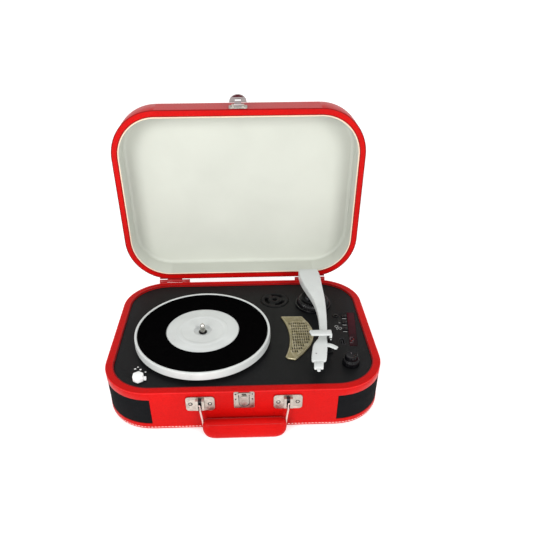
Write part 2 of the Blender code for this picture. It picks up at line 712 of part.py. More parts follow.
def make_lid():
    axis = pivot("lid_axis", LID_AXIS, (-LID_OPEN, 0, 0))
    shell = add("lid_shell", prism(case_outline(0, LID_CORNER), LID_LOW, LID_HIGH), RED, axis)
    bevel(shell, EDGE_ROUND, 3)
    cut(shell, prism(case_outline(LID_WALL, LID_CORNER), LID_LOW - 10 * MM, LID_HIGH - LID_PANEL))
    outer = LID_WALL + GAP
    top = LID_HIGH - LID_PANEL - GAP
    panel = prism(case_outline(outer, LID_CORNER), LID_LOW + 0.4 * MM, top)
    lining = add("lid_lining", panel, LINING, axis)
    hollow = prism(case_outline(outer + LINING_WALL, LID_CORNER), LID_LOW - 20 * MM, top - LINING_PANEL)
    bevel(boolean(lining, hollow, "DIFFERENCE"), 4.5 * MM, 4)
    return axis


def hinge_leaf(name, x, low, high, knuckles, tab, parent=None):
    y = REAR + GAP
    half = HINGE_LENGTH / 2
    leaf = add(name, box((x - half, y, low), (x + half, y + LEAF_THICKNESS, high)), ENAMEL, parent)
    centre = Vector((x, LID_AXIS.y, LID_AXIS.z))
    for start, end in knuckles:
        along = Vector((start, 0, 0)), Vector((end, 0, 0))
        fuse(
            leaf,
            box((x + start, y + 0.1 * MM, tab[0]), (x + end, y + 1.6 * MM, tab[1])),
            rod(KNUCKLE, centre + along[0], centre + along[1], 16),
        )
    reach = Vector((half + 5 * MM, 0, 0))
    return cut(leaf, rod(1.3 * MM, centre - reach, centre + reach, 12))


def make_hinges(lid_axis):
    half, step = HINGE_LENGTH / 2, HINGE_LENGTH / 4
    clear = 3.4 * MM  # leaf edge to the hinge's axis
    z = LID_AXIS.z
    for name, x in (("left", -HINGE_X), ("right", HINGE_X)):
        outer = ((-half, -step), (step, half))
        middle = ((-step + GAP, step - GAP),)
        low, high = z - clear, z + clear
        hinge_leaf(f"hinge_{name}_base_leaf", x, low - HINGE_LEAF, low, outer, (low - 0.5 * MM, z))
        leaf = f"hinge_{name}_lid_leaf"
        hinge_leaf(leaf, x, high, high + HINGE_LEAF, middle, (z, high + 0.5 * MM), lid_axis)
        reach = Vector((half, 0, 0))
        at = Vector((x, LID_AXIS.y, z))
        add(f"hinge_{name}_pin", rod(1 * MM, at - reach, at + reach, 12), STEEL)


# ---------------------------------------------------------------- latch, hasp and handle


def tongue_shape(half, low, high, steps=12):
    """A plate in XZ with a half-round lower end."""
    middle = (0, low + half)
    return arc(middle, half, 180, 360, steps) + [(half, high), (-half, high)]


def make_latch():
    front = FRONT - GAP
    face = front - LEAF_THICKNESS
    height = LATCH_HIGH - LATCH_LOW
    outline = rounded(2 * LATCH_HALF, height, 1.8 * MM, 3, (0, (LATCH_LOW + LATCH_HIGH) / 2))
    plate = add("latch_plate", prism(outline, face, front, "Y"), CHROME)
    notch = LEVER_HALF + GAP
    cut(plate, box((-notch, face - 1 * MM, 56 * MM), (notch, front + 1 * MM, 70 * MM)))
    y, z = LEVER_AXIS.y, LEVER_AXIS.z
    for side in (-1, 1):
        ends = sorted((side * (LEVER_HALF + 0.4 * MM), side * (LEVER_HALF + 1.9 * MM)))
        fuse(
            plate,
            box((ends[0], y, z - 1.4 * MM), (ends[1], face + 0.4 * MM, z + 1.4 * MM)),
            rod(1.4 * MM, (ends[0], y, z), (ends[1], y, z), 14),
        )
    reach = LEVER_HALF + 3 * MM
    cut(plate, rod(1 * MM, (-reach, y, z), (reach, y, z), 12))

    axis = pivot("latch_lever_axis", LEVER_AXIS)
    thick = 0.7 * MM
    shape = tongue_shape(LEVER_HALF, LEVER_LOW, 60.2 * MM)
    lever = add("latch_lever", prism(shape, y - thick, y + thick, "Y"), CHROME, axis)
    trunnion = LEVER_HALF + 1.6 * MM
    fuse(
        lever,
        rod(0.7 * MM, (-trunnion, y, z), (trunnion, y, z), 12),
        box((-3.2 * MM, y - 3.4 * MM, 55.4 * MM), (3.2 * MM, y, 57.2 * MM)),
    )


def make_hasp(lid_axis):
    front = FRONT - GAP
    face = front - LEAF_THICKNESS
    y, z = HASP_AXIS.y, HASP_AXIS.z
    low, high = 63 * MM, 78 * MM
    outline = rounded(2 * LATCH_HALF, high - low, 1.8 * MM, 3, (0, (low + high) / 2))
    plate = add("hasp_plate", prism(outline, face, front, "Y"), CHROME, lid_axis)
    for side in (-1, 1):
        ends = sorted((side * 5.5 * MM, side * 8.3 * MM))
        fuse(
            plate,
            box((ends[0], y, z - 0.9 * MM), (ends[1], face + 0.4 * MM, z + 1.5 * MM)),
            rod(1.5 * MM, (ends[0], y, z), (ends[1], y, z), 14),
        )
    cut(plate, rod(1 * MM, (-0.02, y, z), (0.02, y, z), 12))

    axis = pivot("hasp_tongue_axis", HASP_AXIS, (-TONGUE_TURN, 0, 0), lid_axis)
    thick = 0.6 * MM
    tip = z - TONGUE_LENGTH
    shape = tongue_shape(TONGUE_HALF, tip, 59.2 * MM)
    tongue = add("hasp_tongue", prism(shape, y - thick, y + thick, "Y"), CHROME, axis)
    fuse(
        tongue,
        box((-4.5 * MM, y - thick, 58 * MM), (4.5 * MM, y + thick, z)),
        rod(1.5 * MM, (-5.1 * MM, y, z), (5.1 * MM, y, z), 14),
        rod(0.7 * MM, (-8.2 * MM, y, z), (8.2 * MM, y, z), 12),
    )
    cut(tongue, box((-4 * MM, y - 2 * MM, 54.8 * MM), (4 * MM, y + 2 * MM, 57.8 * MM)))


def make_brackets():
    front = FRONT - GAP
    face = front - 1.4 * MM
    nose = FRONT - 7 * MM
    y, z = HANDLE_AXIS.y, HANDLE_AXIS.z
    for name, x in (("left", -BRACKET_X), ("right", BRACKET_X)):
        outline = rounded(35 * MM, 22 * MM, 4 * MM, 4, (x, z))
        bracket = add(f"handle_bracket_{name}", prism(outline, face, front, "Y"), CHROME)
        fuse(bracket, box((x - 5.3 * MM, nose, z - 6 * MM), (x + 5.3 * MM, face + 0.4 * MM, z + 9 * MM)))
        cut(
            bracket,
            box((x - 2.2 * MM, nose - 3 * MM, z - 9 * MM), (x + 2.2 * MM, face + 0.01 * MM, z + 7 * MM)),
            rod(1.85 * MM, (x - 9 * MM, y, z), (x + 9 * MM, y, z), 14),
        )


def handle_route():
    """The wire from one bracket, down, through the grip and up to the other bracket."""
    x, y, z = HANDLE_HALF, HANDLE_AXIS.y, HANDLE_AXIS.z
    low = z - HANDLE_DROP
    round_off = 2 * MM
    left = [(-58.3 * MM, z)]
    left += arc((-x - round_off / 2, z - round_off / 2), round_off / 2, 90, 0, 3)
    left += [(p[0], p[1]) for p in arc((-x + round_off, low + round_off), round_off, 180, 270, 4)]
    right = [(-a, b) for a, b in reversed(left)]
    return [(a, y, b) for a, b in left + right]


GRIP_HALF = ((50, 13.4), (51.6, 10), (52.3, 3), (51.6, -3.6), (48, -8.8), (43, -12), (37, -13.2))


def make_handle():
    axis = pivot("handle_axis", HANDLE_AXIS, (-HANDLE_TILT, 0, 0))
    curve = bpy.data.curves.new("handle_wire", "CURVE")
    curve.dimensions = "3D"
    curve.bevel_depth = WIRE
    curve.bevel_resolution = 2
    curve.use_fill_caps = True
    route = handle_route()
    spline = curve.splines.new("POLY")
    spline.points.add(len(route) - 1)
    for point, place in zip(spline.points, route):
        point.co = (*place, 1)
    wire = bpy.data.objects.new("handle_wire", curve)
    curve.materials.append(CHROME)
    PARTS.objects.link(wire)
    hang(wire, axis)

    y, low = HANDLE_AXIS.y, HANDLE_AXIS.z - HANDLE_DROP
    half = [(x * MM, low + z * MM) for x, z in GRIP_HALF]
    outline = half + [(-x, z) for x, z in reversed(half)]
    thick = GRIP_THICKNESS / 2
    grip = add("handle_grip", prism(outline, y - thick, y + thick, "Y"), RED, axis)
    bevel(grip, 5 * MM, 3)
    cut(grip, rod(2 * MM, (-70 * MM, y, low), (70 * MM, y, low), 12))


make_case()
make_speakers()
make_deck()
make_deck_grille()
make_turntable()
make_drive()
make_adapter()
make_tonearm()
make_arm_rest()
make_arm_clip()
make_controls()
make_sockets()
LID = make_lid()
make_hinges(LID)
make_latch()
make_hasp(LID)
make_brackets()
make_handle()
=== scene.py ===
"""The looks of a portable suitcase record player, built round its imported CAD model."""

import json
import math

import bmesh
import bpy
import numpy as np
from mathutils import Matrix, Vector
from mathutils.bvhtree import BVHTree


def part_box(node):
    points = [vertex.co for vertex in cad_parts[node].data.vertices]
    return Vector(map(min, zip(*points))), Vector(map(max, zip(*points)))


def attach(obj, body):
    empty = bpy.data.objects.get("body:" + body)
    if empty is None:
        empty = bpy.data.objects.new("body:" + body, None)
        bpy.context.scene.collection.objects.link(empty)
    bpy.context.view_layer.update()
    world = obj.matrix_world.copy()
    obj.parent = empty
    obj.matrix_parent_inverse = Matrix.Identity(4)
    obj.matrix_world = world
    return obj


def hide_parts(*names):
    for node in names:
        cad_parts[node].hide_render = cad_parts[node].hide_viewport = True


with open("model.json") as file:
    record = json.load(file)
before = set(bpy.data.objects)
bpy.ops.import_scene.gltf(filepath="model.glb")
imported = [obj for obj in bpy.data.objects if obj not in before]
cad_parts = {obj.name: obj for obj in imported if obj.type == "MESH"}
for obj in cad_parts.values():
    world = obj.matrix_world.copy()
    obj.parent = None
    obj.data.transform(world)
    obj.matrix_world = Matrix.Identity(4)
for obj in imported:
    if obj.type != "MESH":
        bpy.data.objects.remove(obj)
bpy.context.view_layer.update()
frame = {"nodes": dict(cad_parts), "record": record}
RECORD = frame["record"]
SLOT_OF = {row["node"]: row["material_slot"] for row in RECORD["subparts"]}
BODY_OF = {node: body for body, nodes in RECORD["behaviour"]["bodies"].items() for node in nodes}
JOINT = {joint["name"]: joint for joint in RECORD["behaviour"]["joints"]}
MM = 0.001
SCENE = bpy.context.scene
LARGE_FLAT = 600 * MM * MM  # a face over this area is a wall, and is shaded flat


def middle(node):
    low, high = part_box(node)
    return (low + high) / 2


def below(node):
    """The middle of a node, brought down to height 0."""
    return middle(node) * Vector((1, 1, 0))


def mm(*parts):
    return Vector(parts) * MM


HALF_X, HALF_Y, CASE_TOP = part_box("base_shell")[1]
CASE_CORNER, LID_CORNER = 62.5 * MM, 64.8 * MM
LID_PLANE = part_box("lid_shell")[0].y
LID_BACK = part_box("lid_shell")[1].y
LID_MID = middle("lid_shell").z
DECK_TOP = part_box("display_window")[1].z - 0.4 * MM
PLATTER = middle("platter")

# ---- materials


class Graph:
    """A Principled material and short ways to add nodes to it."""

    def __init__(self, name, colour, roughness, **sockets):
        self.material = bpy.data.materials.new(name)
        self.material.use_nodes = True
        self.tree = self.material.node_tree
        self.shader = self.tree.nodes["Principled BSDF"]
        self.material.diffuse_color = (*colour, 1)
        self.set("Base Color", (*colour, 1))
        self.set("Roughness", roughness)
        for key, value in sockets.items():
            self.set(key.replace("_", " "), value)
        self.place = self.node("TexCoord").outputs["Object"]

    def set(self, socket, value):
        self.shader.inputs[socket].default_value = value

    def node(self, kind, inputs=(), **settings):
        made = self.tree.nodes.new("ShaderNode" + kind)
        for key, value in settings.items():
            setattr(made, key, value)
        for key, value in dict(inputs).items():
            if isinstance(value, bpy.types.NodeSocket):
                self.tree.links.new(value, made.inputs[key])
            else:
                made.inputs[key].default_value = value
        return made

    def link(self, output, socket):
        self.tree.links.new(output, self.shader.inputs[socket])

    def colour(self, output):
        self.link(output, "Base Color")

    def roughness(self, output):
        self.link(output, "Roughness")

    def noise(self, scale, detail=3.0, vector=None, distortion=0.0):
        inputs = {"Vector": vector or self.place, "Scale": scale, "Detail": detail, "Distortion": distortion}
        return self.node("TexNoise", inputs).outputs["Fac"]

    def cells(self, scale, feature="SMOOTH_F1"):
        made = self.node("TexVoronoi", {"Vector": self.place, "Scale": scale}, feature=feature)
        if feature == "SMOOTH_F1":
            made.inputs["Smoothness"].default_value = 0.4
        return made.outputs["Distance"]

    def stretched(self, factors):
        return self.node("Mapping", {"Vector": self.place, "Scale": factors}).outputs["Vector"]

    def math(self, operation, a, b=0.0, c=0.0):
        inputs = {0: a} if operation == "SINE" else {0: a, 1: b, 2: c}
        return self.node("Math", inputs, operation=operation).outputs[0]

    def times(self, a, b):
        return self.math("MULTIPLY", a, b)

    def remap(self, value, low, high, to_low=0, to_high=1):
        inputs = {"Value": value, "From Min": low, "From Max": high, "To Min": to_low, "To Max": to_high}
        return self.node("MapRange", inputs).outputs["Result"]

    def mix(self, factor, first, second):
        first, second = (c if isinstance(c, bpy.types.NodeSocket) else (*c, 1) for c in (first, second))
        return self.node("Mix", {0: factor, 6: first, 7: second}, data_type="RGBA").outputs[2]

    def shades(self, value, low, high, colour, dark, pale):
        """The colour, running from a darker to a paler shade of itself as the value rises."""
        return self.mix(self.remap(value, low, high), shade(colour, dark), shade(colour, pale))

    def wear(self, share, low=0.52, high=0.62):
        """How far a place is a rubbed edge, up to share: convex, and broken up by noise."""
        point = self.node("NewGeometry").outputs["Pointiness"]
        edge = self.remap(point, low, high)
        patchy = self.times(edge, self.remap(self.noise(210, 4), 0.35, 0.65))
        return self.times(patchy, share)

    def axis(self, letter):
        return self.node("SeparateXYZ", {0: self.place}).outputs[letter]

    def bumped(self, height, distance, strength):
        """The finished material, with this relief on it."""
        inputs = {"Height": height, "Distance": distance, "Strength": strength}
        self.link(self.node("Bump", inputs).outputs["Normal"], "Normal")
        return self.material


def shade(colour, factor):
    return tuple(min(1.0, part * factor) for part in colour)


def leather(name, colour, roughness=0.42, grain=760):
    """Coated cloth with a pebbled grain, rubbed a little along its edges."""
    g = Graph(name, colour, roughness, Sheen_Weight=0.16, Sheen_Roughness=0.3, Specular_IOR_Level=0.08)
    pebble = g.cells(grain)
    crease = g.noise(grain * 0.35, 4, distortion=0.6)
    fine = g.noise(grain * 3.2, 2)
    broad = g.noise(14, 4)
    tone = g.shades(broad, 0.35, 0.68, colour, 0.88, 1.07)
    tone = g.mix(g.remap(pebble, 0.35, 0.75, 0, 0.34), tone, shade(colour, 0.55))
    rubbed = tuple(0.85 * part + 0.03 for part in colour)
    tone = g.mix(g.wear(0.35), tone, rubbed)
    scuff = g.times(g.remap(g.noise(95, 6), 0.62, 0.7), g.remap(broad, 0.52, 0.6, 0, 0.1))
    g.colour(g.mix(scuff, tone, rubbed))
    g.roughness(g.remap(g.math("ADD", broad, fine), 0.7, 1.3, roughness - 0.07, roughness + 0.1))
    height = g.math("MULTIPLY_ADD", pebble, -0.8, g.times(crease, 0.5))
    return g.bumped(g.math("MULTIPLY_ADD", fine, 0.14, height), 0.00034, 0.42)


def lining():
    """The lid's cream lining: a matt woven cover with a few flecks."""
    colour = (0.495, 0.51, 0.455)
    g = Graph("cream_lining", colour, 0.6, Sheen_Weight=0.08, Sheen_Roughness=0.5, Specular_IOR_Level=0.3)
    broad = g.noise(9, 5, distortion=0.4)
    nap = g.noise(900, 3)
    tone = g.shades(broad, 0.3, 0.7, colour, 0.95, 1.05)
    flecks = g.times(g.remap(g.noise(420, 2), 0.66, 0.74), 0.12)
    g.colour(g.mix(flecks, tone, (0.5, 0.48, 0.38)))
    g.roughness(g.remap(nap, 0.3, 0.7, 0.5, 0.7))
    weave = g.math("ADD", nap, g.times(g.noise(120, 3), 0.7))
    return g.bumped(weave, 0.00012, 0.5)


def moulded(name, colour, roughness, texture=2400, depth=0.00005, coat=0.0, dust=0.0, specular=0.3):
    """Moulded plastic with a fine surface, soft smears in its gloss, dust and paler edges."""
    g = Graph(name, colour, roughness, Coat_Weight=coat, Coat_Roughness=0.08, Specular_IOR_Level=specular)
    broad = g.noise(26, 5, distortion=0.5)
    fine = g.noise(texture, 2)
    tone = g.shades(broad, 0.3, 0.7, colour, 0.93, 1.06)
    edge = tuple(0.9 * part + 0.008 for part in colour)
    tone = g.mix(g.wear(0.3, 0.53, 0.66), tone, edge)
    if dust:
        patches = g.remap(broad, 0.4, 0.6, 0.2, 1)
        specks = g.times(g.remap(g.noise(1500, 1), 0.7, 0.76, 0, dust), patches)
        tone = g.mix(specks, tone, (0.45, 0.43, 0.4))
    g.colour(tone)
    gloss = g.math("ADD", broad, g.times(fine, 0.5))
    g.roughness(g.remap(gloss, 0.5, 1.0, roughness - 0.05, roughness + 0.08))
    return g.bumped(fine, depth, 0.5)


def plated(name, colour, roughness, brushed=(9, 1.0, 9)):
    """Plated or brushed metal: fine scratches, dull spots, small dents and brighter edges."""
    g = Graph(name, colour, roughness, Metallic=1.0)
    scratch = g.noise(60, 6, g.stretched(brushed))
    smear = g.noise(190, 4, distortion=1.2)
    spots = g.remap(g.noise(700, 2), 0.6, 0.7, 0, 0.45)
    tone = g.shades(smear, 0.3, 0.75, colour, 0.78, 1.08)
    tone = g.mix(spots, tone, shade(colour, 0.45))
    g.colour(g.mix(g.wear(0.6), tone, shade(colour, 1.5)))
    g.roughness(g.remap(g.math("ADD", scratch, smear), 0.7, 1.35, roughness - 0.06, roughness + 0.12))
    return g.bumped(g.math("ADD", scratch, g.times(smear, 0.8)), 0.00006, 0.35)


def felt():
    """Short black nap with a little pale lint."""
    g = Graph("black_felt", (0.001, 0.001, 0.0012), 0.95, Specular_IOR_Level=0.0)
    fuzz = g.noise(1600, 4)
    fibre = g.noise(300, 5, distortion=2.0)
    tone = g.mix(g.remap(fibre, 0.3, 0.75), (0.0006, 0.0006, 0.0007), (0.0022, 0.002, 0.0021))
    lint = g.remap(g.noise(1100, 1), 0.74, 0.78, 0, 0.05)
    g.colour(g.mix(lint, tone, (0.3, 0.3, 0.3)))
    return g.bumped(g.math("ADD", fuzz, fibre), 0.0002, 0.6)


CLOTH_THREADS = 0.0013 / math.tau  # metres for each radian of the weave
CLOTH_CORNER = 0.0665  # how far in front of the middle the corners' centres are (m)
CLOTH_RADIUS = 0.14


def speaker_cloth():
    """A plain weave round the case's corners: one thread set upright, the other level."""
    g = Graph("speaker_cloth", (0.007, 0.0072, 0.008), 0.9, Specular_IOR_Level=0.06)
    corner = g.math("ADD", g.axis("Y"), CLOTH_CORNER)
    across = g.times(g.math("ARCTAN2", corner, g.axis("X")), CLOTH_RADIUS)
    around = g.math("ADD", across, g.times(g.axis("Y"), 0.3))
    warp = g.math("SINE", g.math("DIVIDE", around, CLOTH_THREADS))
    weft = g.math("SINE", g.math("DIVIDE", g.axis("Z"), CLOTH_THREADS))
    weave = g.times(warp, weft)
    slub = g.noise(240, 4)
    tone = g.mix(g.remap(weave, -0.6, 0.9), (0.0015, 0.0017, 0.0022), (0.0085, 0.0088, 0.01))
    g.colour(g.mix(g.remap(slub, 0.35, 0.7, 0, 0.5), tone, (0.007, 0.0075, 0.0085)))
    return g.bumped(g.math("MULTIPLY_ADD", slub, 0.4, weave), 0.0002, 0.55)


def gold():
    """Gold metallic paint with a fine flake."""
    colour = (0.225, 0.195, 0.098)
    g = Graph("gold_grille", colour, 0.42, Metallic=0.4)
    flake = g.cells(1400, "F1")
    broad = g.noise(60, 4)
    tone = g.shades(broad, 0.3, 0.7, colour, 0.78, 1.2)
    tone = g.mix(g.remap(flake, 0.5, 0.9, 0, 0.5), tone, shade(colour, 0.55))
    g.colour(g.mix(g.wear(0.7), tone, (0.5, 0.45, 0.32)))
    g.roughness(g.remap(flake, 0.1, 0.8, 0.34, 0.55))
    return g.bumped(g.math("ADD", flake, broad), 0.00008, 0.45)


def board(name, colour, roughness, scale):
    """Pressed board, mottled by its fibres."""
    g = Graph(name, colour, roughness)
    fibre = g.noise(scale, 6, distortion=0.8)
    g.colour(g.shades(fibre, 0.3, 0.7, colour, 0.7, 1.35))
    g.roughness(g.remap(fibre, 0.3, 0.7, roughness - 0.08, roughness + 0.08))
    return g.bumped(fibre, 0.00015, 0.5)


def thread(name, colour):
    """Twisted sewing thread."""
    g = Graph(name, colour, 0.6, Sheen_Weight=0.3)
    twist = g.noise(2600, 3, g.stretched((1, 1, 2.5)))
    g.colour(g.shades(twist, 0.35, 0.65, colour, 0.72, 1.1))
    return g.bumped(twist, 0.0001, 0.6)


def printed(name, colour):
    """Printing ink or paint, a little worn."""
    g = Graph(name, colour, 0.5, Specular_IOR_Level=0.12)
    worn = g.noise(900, 3)
    g.colour(g.mix(g.remap(worn, 0.55, 0.8), colour, shade(colour, 0.45)))
    g.roughness(g.remap(worn, 0.3, 0.8, 0.4, 0.62))
    return g.bumped(worn, 0.00003, 0.4)


def display():
    """A dark glossy window with a faint maroon glow under it."""
    g = Graph("display_maroon", (0.012, 0.0015, 0.003), 0.2, Specular_IOR_Level=0.08)
    smear = g.noise(70, 5, distortion=1.0)
    glow = g.remap(g.noise(22, 3), 0.35, 0.65)
    g.colour(g.mix(glow, (0.01, 0.0008, 0.002), (0.038, 0.002, 0.006)))
    g.roughness(g.remap(smear, 0.35, 0.7, 0.1, 0.24))
    return g.bumped(smear, 0.00002, 0.25)


LOOKS = {
    "leatherette_red": leather("red_leatherette", (0.47, 0.002, 0.0014)),
    "lining_cream": lining(),
    "plastic_black": moulded("deck_black", (0.0062, 0.0065, 0.007), 0.42, 1900, 0.00008, 0.0, 0.2, 0.11),
    "plastic_gloss_black": moulded(
        "gloss_black", (0.0022, 0.0022, 0.003), 0.2, 1200, 0.00002, 0.05, 0.04, 0.18
    ),
    "plastic_white": moulded("gloss_white", (0.535, 0.555, 0.545), 0.3, 900, 0.00002, 0.12),
    "felt_black": felt(),
    "cloth_black": speaker_cloth(),
    "grille_gold": gold(),
    "chrome": plated("satin_nickel", (0.43, 0.39, 0.345), 0.3),
    "steel": plated("brushed_steel", (0.36, 0.36, 0.355), 0.34, (1.0, 12, 12)),
    "enamel_red": moulded("red_enamel", (0.3, 0.006, 0.006), 0.35, 800, 0.00004, 0.2, 0.1),
    "rubber_black": moulded("foot_rubber", (0.018, 0.018, 0.018), 0.8, 700, 0.00012),
    "fibreboard": board("bottom_board", (0.05, 0.035, 0.026), 0.75, 260),
    "circuit_green": board("circuit_green", (0.02, 0.16, 0.05), 0.4, 500),
    "display_maroon": display(),
}
# Dark metal for some small parts, and for painted shade in slots, gaps and round rivets.
DARK_METAL_AND_SHADE = plated("dark_metal_and_painted_shade", (0.045, 0.045, 0.05), 0.4)
# Dark red for lines of painted shade along the rims of the case and lid.
SHADOW_RED = leather("painted_shade_red", (0.2, 0.003, 0.004), 0.5)
# Lighter red for the case's outer top edge: a painted highlight.
HIGHLIGHT_RED = leather("painted_highlight_red", (0.66, 0.012, 0.012), 0.36)
# A pinker, rougher copy of the nickel for the hasp tongue: a painted pink reflection.
TONGUE_REFLECTION_NICKEL = plated("dull_nickel_painted_reflection", (0.44, 0.38, 0.375), 0.34)
# A paler, pinker copy of the nickel for the handle wire: a painted highlight.
LIT_WIRE_NICKEL = plated("wire_nickel_painted_highlight", (0.64, 0.47, 0.43), 0.34)
PALE_THREAD = thread("pale_thread", (0.86, 0.6, 0.56))
RED_THREAD = thread("red_thread", (0.5, 0.012, 0.012))
PEACH = leather("peach_edge", (0.86, 0.62, 0.46), 0.5, 900)
PRINT = printed("grey_print", (0.42, 0.42, 0.41))
LIGHT_PRINT = printed("white_print", (0.7, 0.7, 0.69))
RED_PRINT = printed("red_print", (0.22, 0.02, 0.02))
DIM_PRINT = printed("dim_print", (0.15, 0.12, 0.13))
# Dark maroon for the hasp tongue's tip: a painted reflection of the red case.
REFLECTION_MAROON = printed("painted_red_reflection", (0.06, 0.003, 0.008))
# Near-black for painted shade in the gaps round the adapter.
GAP_SHADE_BLACK = printed("painted_gap_shade", (0.0015, 0.0015, 0.0015))
# Paler gold for the grille's raised rim: a painted highlight.
HIGHLIGHT_GOLD = plated("painted_highlight_gold", (0.5, 0.45, 0.31), 0.36)
# A paler copy of the white plastic for the speed knob: painted highlight.
LIT_KNOB_WHITE = moulded("knob_white_painted_highlight", (0.8, 0.81, 0.8), 0.28, 900, 0.00002, 0.12)
SPINDLE_METAL = plated("bright_spindle", (0.62, 0.6, 0.56), 0.14, (90, 90, 2))

# ---- making pieces


def placed(name, data):
    """A new object in the scene."""
    made = bpy.data.objects.new(name, data)
    SCENE.collection.objects.link(made)
    return made


def piece(name, mesh, body, look, slot=None, instead=(), smooth=32):
    """A finished piece, its mesh in metres. The look is a material, or the slot that names one."""
    if isinstance(look, str):
        look, slot = LOOKS[look], look
    mesh.shade_smooth()
    mesh.set_sharp_from_angle(angle=math.radians(smooth))
    for face in mesh.polygons:
        if face.area > LARGE_FLAT:
            face.use_smooth = False
    made = placed(name, mesh)
    mesh.materials.clear()
    mesh.materials.append(look)
    if instead:
        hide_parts(*instead)
    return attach(made, body)


def stand_in(node, mesh, name=None, look=None, smooth=32):
    """A finished piece in the place of one CAD node, on that node's body, and with its slot's look unless
    another is given.
    """
    slot = SLOT_OF[node]
    name, look = name or node + "_surface", look or LOOKS[slot]
    return piece(name, mesh, BODY_OF[node], look, slot, [node], smooth)


def to_mesh(bm):
    """A mesh of the shape, with its faces turned outwards."""
    bmesh.ops.recalc_face_normals(bm, faces=bm.faces)
    if bm.calc_volume(signed=True) < 0:
        bmesh.ops.reverse_faces(bm, faces=bm.faces)
    mesh = bpy.data.meshes.new("shape")
    bm.to_mesh(mesh)
    bm.free()
    return mesh


def baked(holder):
    """The mesh of an object as its modifiers leave it, without the object."""
    graph = bpy.context.evaluated_depsgraph_get()
    made = bpy.data.meshes.new_from_object(holder.evaluated_get(graph))
    bpy.data.objects.remove(holder)
    return made


def applied(mesh, *steps):
    """The mesh after modifiers, each a (kind, settings) pair."""
    holder = placed("holder", mesh)
    for kind, settings in steps:
        modifier = holder.modifiers.new(kind.lower(), kind)
        for key, value in settings.items():
            setattr(modifier, key, value)
    return baked(holder)


def cut(mesh, *tools, operation="DIFFERENCE"):
    """The mesh with each tool mesh cut away, or joined on."""
    for tool in tools:
        other = placed("tool", tool)
        mesh = applied(mesh, ("BOOLEAN", {"object": other, "operation": operation, "solver": "EXACT"}))
        bpy.data.objects.remove(other)
    return mesh


def rounded_edges(width, segments=2, angle=35):
    limit = math.radians(angle)
    return ("BEVEL", {"width": width, "segments": segments, "limit_method": "ANGLE", "angle_limit": limit})


def eased(node, width=0.25 * MM, segments=2, look=None, angle=35):
    """A copy of a CAD node with its edges rounded, in the node's place."""
    bm = bmesh.new()
    bm.from_mesh(frame["nodes"][node].data)
    bmesh.ops.remove_doubles(bm, verts=bm.verts, dist=2e-6)
    bmesh.ops.dissolve_limit(bm, angle_limit=math.radians(0.6), verts=bm.verts, edges=bm.edges)
    mesh = applied(to_mesh(bm), rounded_edges(width, segments, angle))
    return stand_in(node, mesh, look=look)


def block(low, high, turn=None, about=None):
    """A cuboid between two corners, turned round Z about a point or its own middle."""
    bm = bmesh.new()
    bmesh.ops.create_cube(bm, size=1)
    low, high = Vector(low), Vector(high)
    centre = (low + high) / 2
    bmesh.ops.transform(bm, matrix=Matrix.Diagonal((*(high - low), 1)), verts=bm.verts)
    bmesh.ops.translate(bm, vec=centre, verts=bm.verts)
    if turn:
        spin = Matrix.Rotation(turn, 3, "Z")
        bmesh.ops.rotate(bm, verts=bm.verts, cent=about or centre, matrix=spin)
    return to_mesh(bm)


def spun(profile, steps, closed=False, scallop=None):
    """A (radius, height) profile in mm, spun round Z. scallop(angle, radius, height) changes a radius."""
    bm = bmesh.new()
    rings = []
    for r, z in profile:
        if r == 0:
            rings.append([bm.verts.new((0, 0, z * MM))])
            continue
        ring = []
        for i in range(steps):
            angle = math.tau * i / steps
            reach = (scallop(angle, r, z) if scallop else r) * MM
            ring.append(bm.verts.new((reach * math.cos(angle), reach * math.sin(angle), z * MM)))
        rings.append(ring)
    pairs = list(zip(rings, rings[1:]))
    if closed:
        pairs.append((rings[-1], rings[0]))
    for a, b in pairs:
        for i in range(steps):
            j = (i + 1) % steps
            corners = [a[i % len(a)], a[j % len(a)], b[j % len(b)], b[i % len(b)]]
            unique = list(dict.fromkeys(corners))
            if len(unique) > 2:
                bm.faces.new(unique)
    return to_mesh(bm)


def turned(node, profile, place, steps, closed=False, **settings):
    """A profile spun round Z and put in the place of one CAD node."""
    return stand_in(node, moved(spun(profile, steps, closed), place), **settings)


def moved(mesh, place, turn=None):
    mesh.transform(Matrix.Translation(place) @ (turn.to_4x4() if turn else Matrix.Identity(4)))
    return mesh


def arc(centre, radius, start, end, steps):
    angles = [math.radians(start + (end - start) * i / steps) for i in range(steps + 1)]
    return [Vector((centre[0] + radius * math.cos(a), centre[1] + radius * math.sin(a))) for a in angles]


def outline(inset, corner=CASE_CORNER):
    """Points round the case or lid, this far inside its outer face."""
    x, y, r = HALF_X - corner, HALF_Y - corner, corner - inset
    points = []
    for sx, sy, start in ((1, 1, 0), (-1, 1, 90), (-1, -1, 180), (1, -1, 270)):
        points += arc((sx * x, sy * y), r, start, start + 90, 24)
    return points


def case_line(inset, height):
    """The outline of the case, this far in and this high."""
    return [Vector((p.x, p.y, height)) for p in outline(inset)]


def even(points, spacing, closed=True):
    """Places and directions at an even spacing along a line of points."""
    points = [Vector(p).to_3d() for p in points]
    if closed:
        points.append(points[0])
    lengths = [(b - a).length for a, b in zip(points, points[1:])]
    total = sum(lengths)
    count = max(2, round(total / spacing))
    made, run, index = [], 0.0, 0
    for i in range(count):
        goal = total * (i + 0.5) / count
        while run + lengths[index] < goal and index < len(lengths) - 1:
            run += lengths[index]
            index += 1
        step = points[index + 1] - points[index]
        made.append((points[index] + step * ((goal - run) / lengths[index]), step.normalized()))
    return made


